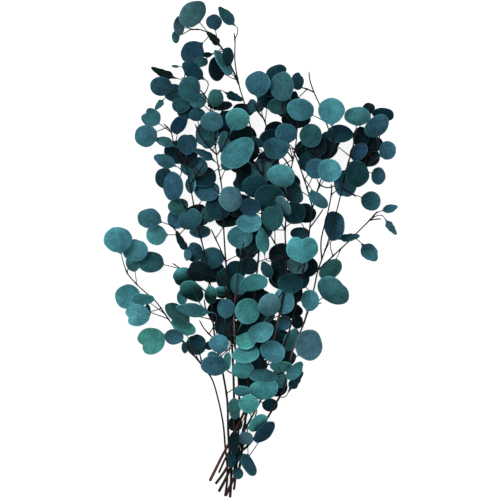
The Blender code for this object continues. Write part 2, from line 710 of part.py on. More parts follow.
def place(leaf, bunch, branch, leaves, taken):
    """Puts a leaf on its branch."""
    leaves[branch.name].append(leaf)
    taken[branch.name].append(leaf.root)
    bunch.add(leaf_solid(leaf, stalk=False), "blade")
    bunch.add(stalk_solid(leaf), branch.name)


def place_layout(branches, bunch, leaves, taken):
    """Places the leaves of the layout, the pressed ones and the front ones first."""
    order = []
    for branch in branches:
        for index, spot in enumerate(branch.leaves):
            first = math.inf if spot.level == PRESSED else spot.level
            order.append((-first, -max(spot.width, spot.height), branch.name, index, branch, spot))
    order.sort(key=lambda entry: entry[:4])
    for _, _, name, index, branch, spot in order:
        places = stations(branch, STATION_STEP)
        for leaf in poses_of(spot, index, places, taken[name], spot.level >= FRONT_LEVEL):
            if fits(leaf, bunch, branch):
                place(leaf, bunch, branch, leaves, taken)
                break


def filler_spot(point, direction, source):
    """A leaf drawn for a bare place on a twig, as a spot, and its place from the bunch's origin."""
    size = source.uniform(*FILLER_SIZES)
    turn = math.radians(source.choice((-1, 1)) * source.uniform(*FILLER_TURNS))
    reach = size / 2 + source.uniform(*FILLER_STALKS) * STALK_LENGTH
    depth = size * source.uniform(*FILLER_DEPTHS)
    along = math.atan2(direction.y, direction.x) + turn
    centre = Vector((point.x + reach * math.cos(along), point.y + reach * math.sin(along), point.z))
    return Spot(centre.x + SHEET_CENTRE[0], SHEET_CENTRE[1] - centre.y, size, depth, 0), centre


def covers_gap(centre, radius):
    """Whether a leaf would hide one of the open places."""
    for x, y, gap in GAPS:
        middle = on_sheet((x, y, 0.0))
        if math.hypot(centre.x - middle.x, centre.y - middle.y) < gap + GAP_SHARE * radius:
            return True
    return False


def place_fillers(branches, bunch, leaves, taken):
    """Adds leaves behind the others, in the dark between them."""
    others = [on_sheet((spot.x, spot.y, 0.0)) for branch in branches for spot in branch.leaves]
    source = random.Random(FILLER_SEED)
    count = 0
    tries = [(branch, place) for branch in branches for place in stations(branch, FILLER_SPACING)]
    for branch, (point, direction) in tries * FILLER_ROUNDS:
        spot, centre = filler_spot(point, direction, source)
        spans = [math.hypot(centre.x - other.x, centre.y - other.y) for other in others]
        near = sum(span < FILLER_NEAR for span in spans)
        if count >= FILLERS_MOST or min(spans) < FILLER_APART or near < FILLER_COMPANY:
            continue
        for leaf in itertools.islice(poses_of(spot, count, [(point, direction)], [], False), FILLER_POSES):
            if covers_gap(leaf.centre, leaf.radius) or leaf.centre.z > point.z + FILLER_HIGHEST:
                continue
            if fits(leaf, bunch, branch):
                place(leaf, bunch, branch, leaves, taken)
                others.append(leaf.centre)
                count += 1
                break


def mesh_object(name, shape):
    """A Blender object from a shape in millimetres."""
    vertices, faces = shape
    mesh = bpy.data.meshes.new(name)
    mesh.from_pydata([v * MM for v in vertices], [], faces)
    shaper = bmesh.new()
    shaper.from_mesh(mesh)
    bmesh.ops.recalc_face_normals(shaper, faces=shaper.faces)
    bmesh.ops.triangulate(shaper, faces=shaper.faces)
    shaper.to_mesh(mesh)
    shaper.free()
    return bpy.data.objects.new(name, mesh)


def merge_flat_faces(mesh):
    """Joins the slivers that fusing leaves in a flat face, then splits every face into triangles."""
    shaper = bmesh.new()
    shaper.from_mesh(mesh)
    bmesh.ops.dissolve_limit(
        shaper, angle_limit=math.radians(FLAT_WITHIN), verts=shaper.verts, edges=shaper.edges, delimit=set()
    )
    bmesh.ops.triangulate(shaper, faces=shaper.faces)
    shaper.to_mesh(mesh)
    shaper.free()


def fuse(name, body, parts):
    """One solid from a body and all that grows from it."""
    scene = bpy.context.scene
    whole = mesh_object(name, body)
    scene.collection.objects.link(whole)
    group = bpy.data.collections.new(name + "_parts")
    scene.collection.children.link(group)
    for index, part in enumerate(parts):
        group.objects.link(mesh_object(f"{name}_part_{index}", part))
    union = whole.modifiers.new("union", "BOOLEAN")
    union.operation = "UNION"
    union.operand_type = "COLLECTION"
    union.collection = group
    union.solver = "MANIFOLD"
    bpy.context.view_layer.update()
    joined = bpy.data.meshes.new_from_object(whole.evaluated_get(bpy.context.evaluated_depsgraph_get()))
    whole.modifiers.clear()
    whole.data = joined
    merge_flat_faces(joined)
    for part in list(group.objects):
        bpy.data.objects.remove(part)
    bpy.data.collections.remove(group)
    return whole


def leaf_material():
    """Dyed leaf, a deep matt teal."""
    material = bpy.data.materials.new("dyed_leaf")
    material.use_nodes = True
    shader = material.node_tree.nodes["Principled BSDF"]
    shader.inputs["Base Color"].default_value = LEAF_COLOUR
    shader.inputs["Roughness"].default_value = LEAF_ROUGHNESS
    shader.inputs["Metallic"].default_value = 0.0
    return material


def clear_scene():
    """Removes whatever the file opened with."""
    for obj in list(bpy.data.objects):
        bpy.data.objects.remove(obj)


def main():
    """Lays the leaves on all nine branches, then fuses each branch."""
    clear_scene()
    branches = all_branches()
    bunch = Bunch()
    leaves = {branch.name: [] for branch in branches}
    taken = {branch.name: [] for branch in branches}
    for branch in branches:
        bunch.add(stem_tube(branch), branch.name)
        for route in branch.twigs:
            bunch.add(twig_tube(route), branch.name)
    place_layout(branches, bunch, leaves, taken)
    place_fillers(branches, bunch, leaves, taken)
    material = leaf_material()
    for branch in branches:
        parts = [twig_tube(route) for route in branch.twigs]
        parts += [leaf_solid(leaf) for leaf in leaves[branch.name]]
        whole = fuse(branch.name, stem_tube(branch), parts)
        whole.data.materials.clear()
        whole.data.materials.append(material)


main()
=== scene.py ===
"""The looks of a gathered bunch of nine dyed silver-dollar eucalyptus branches.

The routes and the leaves are laid out as in the model's source, in millimetres on a square sheet: x runs
right from the sheet's left edge, y runs down from its top edge, and z is the height above the surface. The
same rule then finds each leaf's place, and every blade, stalk, twig and stem is built there in fine detail.
"""

import itertools
import logging
import math
import random
from collections.abc import Callable, Iterator
from dataclasses import dataclass, field
from enum import Enum

import bpy
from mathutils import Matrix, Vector
from mathutils.bvhtree import BVHTree

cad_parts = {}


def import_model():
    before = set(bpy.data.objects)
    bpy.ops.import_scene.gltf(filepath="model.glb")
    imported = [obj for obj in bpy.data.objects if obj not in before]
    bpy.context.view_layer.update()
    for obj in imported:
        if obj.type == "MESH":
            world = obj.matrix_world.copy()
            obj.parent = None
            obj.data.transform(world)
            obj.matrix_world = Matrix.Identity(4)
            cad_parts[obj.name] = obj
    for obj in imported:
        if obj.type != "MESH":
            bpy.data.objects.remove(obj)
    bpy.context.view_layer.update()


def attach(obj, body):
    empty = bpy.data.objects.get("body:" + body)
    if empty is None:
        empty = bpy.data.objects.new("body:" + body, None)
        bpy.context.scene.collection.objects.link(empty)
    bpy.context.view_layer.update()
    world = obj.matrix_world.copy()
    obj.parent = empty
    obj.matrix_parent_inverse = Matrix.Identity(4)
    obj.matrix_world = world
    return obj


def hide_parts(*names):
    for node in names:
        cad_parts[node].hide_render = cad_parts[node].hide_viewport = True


LOG = logging.getLogger("eucalyptus_bunch")

MM = 0.001
FULL_TURN = 2 * math.pi
SHEET_CENTRE = (250.7, 249.3)
# The level of a leaf that lies flat on the surface, and how upright the normal of such a leaf is at least
PRESSED = -1
LEVEL_FACING = 0.9999
# The degrees between two corners of an outline
CORNER_STEP = 40.0

Shape = tuple[list[Vector], list[tuple[int, ...]]]
Pair = tuple[float, float]
Colour = tuple[float, ...]
Socket = bpy.types.NodeSocket
Value = Socket | float | Colour


class DyeAndShade(Enum):
    """The shades that the dye took in the leaves, as linear colours; the darker ones are partly painted
    shade.
    """

    BRIGHT = (0.046, 0.205, 0.212)
    AQUA = (0.041, 0.165, 0.185)
    ICE = (0.046, 0.160, 0.205)
    JADE = (0.035, 0.152, 0.138)
    TEAL = (0.034, 0.136, 0.150)
    SKY = (0.039, 0.140, 0.172)
    LAGOON = (0.027, 0.094, 0.116)
    MOSS = (0.022, 0.078, 0.084)
    STEEL = (0.039, 0.102, 0.122)
    BLUE = (0.021, 0.072, 0.098)
    SLATE = (0.013, 0.050, 0.062)
    # Teal with painted shade: lit along the upper left edge, near black inside
    DUSK = (0.022, 0.092, 0.102)
    NAVY = (0.012, 0.038, 0.060)
    # INK, DARK and BLACK go mostly to low leaves: their darkness is partly the dye, partly painted shade
    INK = (0.005, 0.020, 0.040)
    DARK = (0.006, 0.026, 0.034)
    BLACK = (0.004, 0.010, 0.013)


class Form(Enum):
    """The blades' outlines: reach at 0, 40, 80 and 120 degrees from the tip, and width for the length."""

    ROUND = (1.0, 1.0, 1.0, 1.0, 1.0)
    HEART = (0.8, 1.02, 1.0, 1.0, 1.0)
    DROP = (1.0, 0.97, 0.93, 0.85, 0.95)
    POINT = (1.2, 0.88, 0.74, 0.72, 0.76)
    LANCE = (1.15, 0.64, 0.46, 0.55, 0.5)

    @property
    def width(self) -> float:
        """How wide the form is for its length."""
        return self.value[-1]

    def reach(self, angle: float, smooth: bool = False) -> float:
        """How far the rim stands off the centre.

        Args:
            angle: The angle from the tip in degrees.
            smooth: Whether the outline bends through its corners, and isn't straight between them.

        Returns:
            The share of a round leaf's reach, which stays the same past the last corner.
        """
        steps = min(abs(angle) / CORNER_STEP, len(self.value) - 2)
        first = min(int(steps), len(self.value) - 3)
        share = steps - first
        if smooth:
            share = 0.5 - 0.5 * math.cos(math.pi * share)
        return self.value[first] + (self.value[first + 1] - self.value[first]) * share


# One word for each dye and form, for the rows of the layout
BRIGHT, AQUA, ICE, JADE, TEAL, SKY, LAGOON, MOSS, STEEL, BLUE, SLATE, DUSK, NAVY, INK, DARK, BLACK = DyeAndShade
ROUND, HEART, DROP, POINT, LANCE = Form


@dataclass(frozen=True)
class Spot:
    """A leaf as it shows on the sheet, its long side turned from the sheet's right if a turn is given."""

    x: float
    y: float
    width: float
    height: float
    level: int
    dye: DyeAndShade
    turn: float = 0.0
    form: Form = ROUND


def spots(*rows: tuple) -> tuple[Spot, ...]:
    """The leaves of one branch, from rows of a spot's fields."""
    return tuple(Spot(*row) for row in rows)


# Open places between the leaves, where the surface shows, as rows of (x, y, radius)
GAPS = (
    (222, 240, 12), (229, 254, 10), (215, 228, 7), (277, 240, 10), (290, 224, 8), (307, 226, 6),
    (317, 236, 9), (259, 261, 5), (271, 287, 9), (231, 178, 8), (245, 194, 4), (261, 122, 11),
    (271, 118, 8), (256, 131, 6), (297, 165, 8), (302, 183, 8), (286, 163, 5), (319, 127, 6),
    (343, 157, 9), (213, 160, 7), (217, 176, 6), (194, 197, 4), (208, 88, 8), (224, 86, 9), (205, 66, 5),
    (165, 118, 10), (192, 127, 5), (168, 240, 13), (166, 284, 16), (198, 304, 5), (208, 314, 7),
    (203, 326, 5), (226, 385, 12), (239, 384, 5), (302, 312, 6), (314, 320, 8), (324, 190, 8),
    (345, 208, 12), (338, 250, 12), (326, 240, 8), (295, 145, 4), (330, 128, 4), (240, 95, 10),
    (250, 120, 6), (300, 60, 20), (315, 90, 10), (165, 165, 4), (226, 375, 8), (270, 412, 6),
    (193, 52, 15), (206, 73, 11), (232, 103, 8), (212, 122, 6), (199, 148, 4), (322, 288, 10),
    (326, 306, 10), (308, 370, 9), (292, 400, 10), (283, 405, 7), (127, 297, 14), (369, 251, 14),
    (283, 312, 4), (212, 258, 5), (178, 57, 10), (160, 199, 10), (319, 221, 8),
)


@dataclass(frozen=True)
class Branch:
    """One leafy branch: its routes are rows of (x, y, z), its leaves are spots."""

    name: str
    diameter: float
    stem: tuple
    twigs: tuple
    leaves: tuple


@dataclass(frozen=True)
class Leaf:
    """A blade in its own plane, with the stalk's root on its twig and the shade of its dye."""

    centre: Vector
    normal: Vector
    heading: Vector
    radius: float
    cup: float
    twist: float
    notch: float
    form: Form
    dye: DyeAndShade
    root: Vector


# The nine branches as they lie on the sheet, each with its stem, its twigs and its leaves

# The thin branch that leaves the bunch low on the left
LOW_LEFT = Branch("branch_low_left", 2.6, (
    (225, 497, 1.4), (227, 482, 1.5), (227, 466, 1.9), (225, 447, 2.4), (223, 425, 4), (218, 400, 7),
    (211, 378, 9), (198, 361, 11), (182, 340, 12), (168, 319, 13), (155, 301, 13), (140, 288, 12),
    (128, 275, 11), (124, 266, 10),
), (
    ((211, 378, 9), (203, 366, 12), (199, 352, 14)),
), spots(
    (118, 241, 32, 27, 3, TEAL, 0, DROP), (135, 250, 26, 23, 2, SKY), (132, 263, 15, 18, 1, ICE),
    (127, 297, 22, 26, PRESSED, AQUA), (143, 299, 24, 12, 1, AQUA), (137, 315, 26, 23, 3, ICE, 0, HEART),
    (153, 307, 7, 14, 0, DARK), (151, 341, 28, 28, 3, JADE, 0, HEART),
    (183, 329, 30, 14, 2, BRIGHT, -25, DROP), (174, 336, 20, 16, 1, LAGOON), (196, 345, 21, 21, 0, SLATE),
    (185, 348, 7, 12, 0, SLATE), (211, 345, 26, 9, 0, DARK, 20, LANCE),
))

# The branch that runs up the left side
LEFT = Branch("branch_left", 3.2, (
    (230, 498, 1.7), (231, 482, 1.8), (231, 465, 2.1), (229, 447, 2.6), (228, 430, 4), (227, 400, 8),
    (222, 370, 11), (215, 340, 14), (212, 310, 17), (210, 283, 20), (205, 255, 23), (197, 222, 25),
    (190, 185, 26), (184, 160, 25), (175, 149, 23), (171, 132, 21), (163, 123, 20),
), (
    ((208, 270, 21.5), (195, 264, 20), (188, 250, 20), (182, 239, 19), (172, 226, 17)),
    ((211, 296, 18.5), (198, 285, 16), (183, 271, 14), (172, 263, 13)),
    ((199, 230, 24.5), (187, 210, 26), (178, 197, 25), (173, 186, 24)),
    ((190, 185, 26), (199, 172, 28), (204, 164, 29)),
    ((215, 340, 14), (205, 330, 15), (199, 320, 16)),
    ((212.6, 322, 15.8), (206, 310, 17), (204, 299, 17.5)),
), spots(
    (151, 117, 20, 19, 2, LAGOON, 0, HEART), (146, 136, 23, 23, 3, BLUE),
    (166, 142, 20, 11, 2, MOSS, -20, POINT), (179, 124, 22, 15, 1, INK, 50), (187, 144, 21, 21, 1, NAVY),
    (167, 162, 24, 14, 3, BLUE, -25, POINT), (163, 178, 18, 22, 0, NAVY), (174, 186, 21, 30, 2, BLUE),
    (194, 167, 28, 22, 0, BLUE), (191, 185, 11, 17, 1, SKY), (207, 190, 26, 21, 1, BLUE),
    (178, 207, 21, 18, 1, MOSS), (206, 155, 27, 9, 2, NAVY, -30, LANCE),
    (150, 219, 26, 22, 3, BLUE, 0, DROP), (157, 235, 22, 23, 2, TEAL, 0, DROP),
    (182, 244, 26, 8, 0, DARK, -58, LANCE), (188, 255, 8, 12, 0, LAGOON),
    (190, 219, 25, 21, 3, BLUE, 30, HEART), (176, 219, 19, 20, 0, BLUE), (209, 214, 17, 17, 1, MOSS),
    (200, 231, 22, 13, 0, BLUE), (195, 252, 18, 20, 1, NAVY), (212, 258, 25, 22, 2, BLUE),
    (183, 277, 21, 20, 2, DUSK), (193, 290, 27, 19, 3, DUSK, -35), (181, 297, 11, 16, 2, BRIGHT),
    (150, 263, 27, 22, 1, SLATE), (195, 311, 33, 15, 3, TEAL, -8, POINT), (176, 316, 31, 16, 1, MOSS, -42),
))

# The bushy branch low in the middle, with the leaves nearest the cut ends
LOW_CENTRE = Branch("branch_low_centre", 2.8, (
    (234, 490, 9.0), (235.5, 478, 11.0), (237, 463, 13.0), (240, 447, 13.6), (243, 430, 16),
    (248, 410, 20), (254, 390, 25), (260, 368, 29), (265, 345, 32), (267, 322, 35), (268, 304, 37),
), (
    ((248, 410, 20), (241, 400, 21), (237, 391, 22)),
    ((243, 430, 16), (252, 424, 21), (257, 411, 25)),
    ((254, 390, 25), (265, 383, 27), (275, 376, 28), (284, 372, 28)),
    ((238, 458, 13.2), (243, 458, 15), (247, 459, 15)),
    ((262.5, 357, 30.4), (270, 360, 33), (276, 362, 34)),
), spots(
    (243, 391, 19, 11, 1, AQUA), (249, 404, 23, 20, 3, BRIGHT, 0, DROP), (234, 409, 13, 22, 1, MOSS),
    (238, 425, 15, 16, 0, BLACK), (257, 423, 25, 15, 2, BRIGHT, 45, DROP), (246, 438, 15, 14, 3, STEEL),
    (263, 431, 28, 15, 1, NAVY, 48), (270, 405, 16, 14, 0, DARK), (249, 464, 28, 12, 1, SLATE, -60, DROP),
    (238, 474, 11, 12, 0, SLATE), (235, 461, 9, 15, 0, DARK), (264, 390, 30, 22, 4, BRIGHT, 12),
    (263, 377, 30, 13, 3, LAGOON, -5), (280, 379, 20, 15, 1, AQUA, -60), (281, 366, 23, 12, 1, BRIGHT),
    (260, 331, 28, 20, 3, SKY, 25), (272, 352, 27, 21, 4, SKY, -25), (259, 365, 18, 16, 0, SLATE),
    (294, 370, 23, 13, 2, SKY, 50), (294, 383, 26, 10, 0, DARK, 55, LANCE),
    (270, 305, 24, 22, 3, STEEL, 40), (240, 459, 15, 8, 1, NAVY, 70), (236, 443, 24, 11, 0, BLACK, 85),
))

# The branch that ends at the upper left
UPPER_LEFT = Branch("branch_upper_left", 3.4, (
    (219, 492, 4.5), (226, 479, 5.6), (231, 466, 6.1), (233.5, 450, 6.4), (234, 430, 8), (234, 400, 13),
    (233, 365, 18), (231, 330, 22), (228, 290, 26), (225, 250, 29), (223, 215, 31), (222, 189, 32),
    (218, 165, 32), (214, 135, 30), (210, 106, 27), (202, 92, 24), (192, 84, 21), (181, 77, 18),
), (
    ((217, 155, 31.5), (208, 146, 29), (200, 135, 27), (195, 124, 25)),
    ((213, 125, 29), (222, 112, 29), (229, 101, 27)),
    ((198, 88.5, 22.8), (186, 91, 20), (176, 91, 19)),
    ((217, 155, 31.5), (226, 142, 34), (229, 132, 35)),
    ((226, 262, 28.1), (220, 248, 28.5), (211, 229, 28)),
), spots(
    (189, 89, 23, 26, 3, SLATE), (194, 73, 26, 17, 1, DARK, -35, POINT),
    (165, 74, 29, 9, 0, BLACK, -22, LANCE), (161, 86, 22, 20, 3, NAVY), (173, 92, 20, 18, 0, BLUE),
    (181, 105, 19, 17, 1, SLATE), (198, 101, 17, 16, 2, TEAL), (160, 103, 14, 8, 1, MOSS, 50, LANCE),
    (197, 115, 17, 14, 1, SLATE), (212, 122, 23, 20, 3, LAGOON), (208, 135, 24, 28, 1, SLATE),
    (224, 143, 13, 25, 1, SKY), (216, 98, 16, 18, 2, MOSS), (220, 107, 26, 10, 0, BLACK),
    (232, 96, 21, 9, 1, DARK, -25, LANCE), (227, 165, 13, 11, 1, BLUE),
    (237, 121, 27, 23, 3, TEAL, 0, DROP), (176, 66, 9, 3, 1, MOSS, -5, LANCE),
))

# The longest branch, whose tips are the top of the bunch
TOP = Branch("branch_top", 3.4, (
    (226, 496, 4.6), (232, 483, 5.4), (238, 472, 6.0), (240.5, 463, 6.2), (242, 450, 6.5),
    (244.5, 430, 7.2), (247, 400, 10.5), (249, 370, 17), (251, 335, 24), (254, 300, 29), (258, 262, 33),
    (261, 225, 35), (263, 190, 35), (262, 160, 34), (255, 143, 32), (250, 125, 30), (244, 102, 27),
    (239, 85, 25), (235, 62, 22), (235, 42, 20), (234, 32, 19),
), (
    ((239, 85, 25), (231, 66, 21), (222, 48, 17), (210, 34, 14), (200, 29, 12), (190, 29, 11)),
    ((262, 160, 34), (267, 140, 33), (265, 122, 31), (257, 110, 29), (254, 103, 28)),
    ((262, 175, 34.5), (254, 162, 36), (247, 155, 36)),
), spots(
    (193, 14, 32, 22, 3, STEEL, 40), (178, 25, 11, 20, 1, STEEL), (175, 36, 8, 13, 0, LAGOON),
    (215, 39, 21, 8, 0, BLACK, -49, LANCE), (214, 22, 18, 16, 2, NAVY, 0, DROP),
    (227, 18, 24, 13, 2, SLATE, -48, POINT), (193, 51, 27, 24, PRESSED, NAVY, 0, DROP),
    (201, 61, 14, 10, 1, MOSS), (222, 63, 30, 12, 2, SKY, -58), (218, 68, 17, 26, 0, BLACK),
    (228, 57, 12, 20, 0, DARK), (207, 54, 10, 5, 0, DARK), (252, 106, 11, 14, 1, SLATE),
    (260, 106, 8, 12, 0, SLATE), (258, 85, 27, 28, 3, BLUE, 0, DROP), (237, 152, 39, 27, 3, TEAL, 40),
    (259, 143, 18, 8, 0, SLATE, -42, LANCE), (244, 173, 16, 26, 0, BLACK),
))

# The shorter branch left of the middle
CENTRE_LEFT = Branch("branch_centre_left", 2.6, (
    (233, 474, 6.0), (236, 463, 6.2), (237.5, 450, 6.4), (238.5, 432, 7), (239, 405, 9.8), (238, 375, 19),
    (235, 345, 24), (234, 315, 28), (236, 290, 32), (240, 262, 35), (244, 242, 37),
), (
    ((238, 375, 19), (229, 372, 19), (222, 366, 19)),
    ((235, 345, 24), (227, 334, 26), (222, 322, 27)),
    ((235, 302, 30), (226, 290, 33), (220, 276, 34)),
    ((240, 262, 35), (250, 254, 38), (256, 246, 40)),
    ((236.5, 360, 21.5), (244, 362, 26), (250, 363, 30)),
), spots(
    (219, 344, 23, 19, 3, SKY, 0, DROP), (214, 363, 27, 21, 1, LAGOON), (216, 359, 20, 11, 2, ICE, -45),
    (227, 361, 8, 18, 2, BRIGHT), (226, 308, 18, 20, 2, BLUE), (247, 311, 25, 27, 3, TEAL),
    (238, 284, 17, 22, 2, LAGOON), (236, 270, 21, 20, 0, DARK), (240, 236, 26, 23, 1, SKY),
    (249, 224, 26, 20, 2, ICE), (253, 245, 20, 20, 0, DARK), (249, 266, 18, 18, 0, BLACK),
    (254, 282, 29, 17, 4, BRIGHT, 10), (243, 370, 23, 18, 2, BRIGHT), (247, 341, 23, 17, 3, BRIGHT, 15),
    (246, 354, 28, 18, 4, BRIGHT, 10), (211, 295, 13, 19, 1, DUSK), (222, 293, 17, 13, 1, DUSK),
))

# The reddish branch that crosses the waist and fills the upper middle
TOP_CENTRE = Branch("branch_top_centre", 3.5, (
    (210, 481, 9), (216, 469, 9.8), (222, 457, 10.1), (232, 438, 11.2), (243, 415, 15), (252, 395, 19),
    (263, 368, 23), (272, 345, 28), (278, 320, 32), (284, 290, 36), (286, 258, 40), (285, 230, 42),
    (288, 200, 42), (291, 170, 40), (295, 150, 37), (297, 130, 34), (298, 112, 31), (296, 99, 29),
), (
    ((286, 258, 40), (276, 245, 42), (270, 235, 43)),
    ((285, 230, 42), (275, 215, 43), (262, 208, 42), (251, 207, 41)),
    ((288, 200, 42), (296, 192, 44), (301, 186, 44)),
    ((291, 170, 40), (283, 158, 39), (275, 163, 39)),
    ((297, 130, 34), (288, 119, 32), (282, 108, 30), (284, 100, 29)),
    ((284, 290, 36), (277, 301, 35), (276, 313, 33)),
    ((293, 160, 38.5), (286, 150, 36), (280, 142, 34)),
), spots(
    (276, 71, 22, 14, 1, DARK, 20), (283, 87, 24, 30, 3, MOSS), (297, 81, 13, 18, 0, NAVY),
    (295, 97, 8, 12, 1, DARK), (278, 106, 23, 16, 1, MOSS), (296, 119, 30, 17, 0, BLACK),
    (286, 134, 23, 20, 2, BLUE), (311, 136, 23, 24, 2, SLATE), (276, 149, 27, 22, 3, SLATE),
    (262, 171, 25, 24, 1, STEEL), (281, 177, 28, 23, 4, SKY, -15), (231, 199, 24, 26, 3, STEEL),
    (255, 187, 26, 24, 0, DARK), (269, 198, 31, 29, 1, DARK), (250, 206, 22, 17, 1, NAVY),
    (272, 218, 22, 26, 3, SLATE), (283, 206, 22, 12, 2, STEEL, -55), (294, 192, 26, 18, 1, SLATE, -60),
    (304, 213, 25, 20, 0, BLACK), (290, 284, 26, 20, 1, DARK), (297, 264, 22, 18, 2, STEEL),
    (284, 301, 22, 27, 2, ICE), (280, 266, 15, 24, 0, BLACK), (268, 271, 19, 12, 1, SLATE, -65, POINT),
    (284, 323, 16, 15, 1, BLUE), (297, 322, 12, 14, 0, BLACK), (263, 243, 27, 14, 2, TEAL, 98, POINT),
))

# The thin branch that ends in the bare twig at the upper right
TOP_RIGHT = Branch("branch_top_right", 2.5, (
    (219, 473, 9.5), (226, 458, 9.6), (237, 441, 11.0), (248, 424, 14), (262, 398, 18.5), (276, 368, 22),
    (287, 338, 28), (296, 305, 34), (303, 272, 38), (308, 240, 41), (312, 210, 42), (319, 185, 41),
    (327, 163, 38), (333, 143, 34), (328, 128, 30), (321, 108, 26), (314, 92, 22), (310, 80, 20),
    (309, 71, 19),
), (
    ((314, 92, 22), (307, 89, 23), (300, 87, 24)),
    ((319, 185, 41), (327, 188, 43), (335, 186, 44)),
    ((309.5, 228, 41.5), (317, 218, 43), (323, 209, 43)),
    ((304.5, 263, 38.8), (299, 268, 41), (297, 272, 42)),
    ((312.3, 208, 42), (306, 186, 43.5), (298, 163, 45), (292, 150, 45)),
), spots(
    (331, 113, 30, 27, 4, AQUA, 0, DROP), (300, 110, 28, 22, 3, TEAL, -10), (340, 133, 28, 19, 0, DARK),
    (325, 150, 26, 22, 0, BLACK), (306, 150, 22, 22, 0, BLACK), (316, 169, 22, 21, 2, BLUE),
    (329, 171, 24, 24, 4, AQUA), (302, 248, 33, 27, 4, BRIGHT, 0, HEART), (300, 233, 20, 13, 0, NAVY),
    (317, 200, 26, 14, 3, LAGOON, -38, DROP), (291, 340, 26, 15, 1, SKY, 65),
))

# The branch that runs out to the right side
RIGHT = Branch("branch_right", 3.2, (
    (216, 484, 9.2), (222, 476, 9.8), (229, 465, 10.0), (236, 456, 10.1), (245, 449, 10.3), (254, 439, 11),
    (263, 426, 12), (274, 407, 15), (284, 388, 18), (289, 365, 21), (294, 347, 23), (302, 328, 25),
    (309, 308, 27), (314, 288, 29), (318, 270, 31), (325, 250, 33), (332, 228, 35), (338, 205, 35),
    (342, 188, 34), (346, 170, 33), (352, 150, 31), (355, 136, 29),
), (
    ((318, 270, 31), (333, 256, 26), (347, 243, 20), (358, 232, 16), (370, 220, 14), (378, 211, 13)),
    ((346, 170, 33), (357, 170, 33), (368, 166, 31), (377, 152, 29), (379, 141, 28)),
    ((342, 188, 34), (350, 193, 32), (356, 197, 30)),
    ((309, 308, 27), (316, 304, 25), (322, 303, 23)),
    ((370, 220, 14), (377, 219, 13), (382, 219, 12)),
    ((321.6, 260, 32), (321, 240, 36), (327, 215, 38.5), (331, 195, 39.5), (331, 184, 40)),
), spots(
    (357, 117, 27, 20, 3, LAGOON), (369, 108, 13, 12, 0, BLACK), (383, 114, 23, 13, 1, DARK, -10),
    (376, 126, 28, 20, 3, BLUE, 35), (362, 137, 16, 22, 0, BLACK), (358, 151, 21, 16, 1, NAVY, 45),
    (387, 151, 18, 21, 2, BLUE, 0, DROP), (378, 176, 15, 18, 1, SLATE), (356, 174, 24, 28, 0, DARK),
    (345, 184, 24, 28, 1, BLUE), (371, 201, 20, 20, 1, SLATE), (389, 209, 16, 9, 2, BLUE, 15, POINT),
    (390, 226, 20, 8, 2, BLUE, -55, LANCE), (369, 251, 22, 17, PRESSED, BLUE, -48, POINT),
    (333, 226, 21, 30, 1, NAVY), (347, 238, 24, 8, 0, SLATE, 8, LANCE), (330, 269, 26, 19, 1, MOSS, 35),
    (333, 291, 36, 25, 2, LAGOON, -40), (310, 301, 19, 24, 3, SKY, 0, DROP), (309, 345, 28, 32, 3, STEEL),
))

# From the surface up
BRANCHES = (LOW_LEFT, LEFT, LOW_CENTRE, UPPER_LEFT, TOP, CENTRE_LEFT, TOP_CENTRE, TOP_RIGHT, RIGHT)


def on_sheet(point: tuple[float, float, float]) -> Vector:
    """A point of the layout sheet in millimetres from the bunch's own origin."""
    x, y, z = point
    return Vector((x - SHEET_CENTRE[0], SHEET_CENTRE[1] - y, z))


def between(first: Colour, last: Colour, share: float) -> Colour:
    """The colour at a share of the way from the first to the last."""
    return tuple(a + (b - a) * share for a, b in zip(first, last))


def tube(points: list[Vector], radii: list[float], sides: int) -> Shape:
    """A closed tube through the points.

    Args:
        points: The middle of each ring.
        radii: The radius of each ring.
        sides: The number of corners of a ring.

    Returns:
        The tube's vertices, ring by ring, and its faces, the two ends last.
    """
    vertices = []
    faces = []
    across = Vector((0.0, 0.0, 1.0))
    for i, point in enumerate(points):
        ahead = points[min(i + 1, len(points) - 1)] - points[max(i - 1, 0)]
        ahead.normalize()
        across = (across - ahead * across.dot(ahead)).normalized()
        beside = ahead.cross(across)
        for k in range(sides):
            turn = FULL_TURN * k / sides
            vertices.append(point + radii[i] * (math.cos(turn) * across + math.sin(turn) * beside))
    for i in range(len(points) - 1):
        for k in range(sides):
            a = i * sides + k
            b = i * sides + (k + 1) % sides
            faces.append((a, b, b + sides, a + sides))
    last = (len(points) - 1) * sides
    faces.append(tuple(reversed(range(sides))))
    faces.append(tuple(last + k for k in range(sides)))
    return vertices, faces


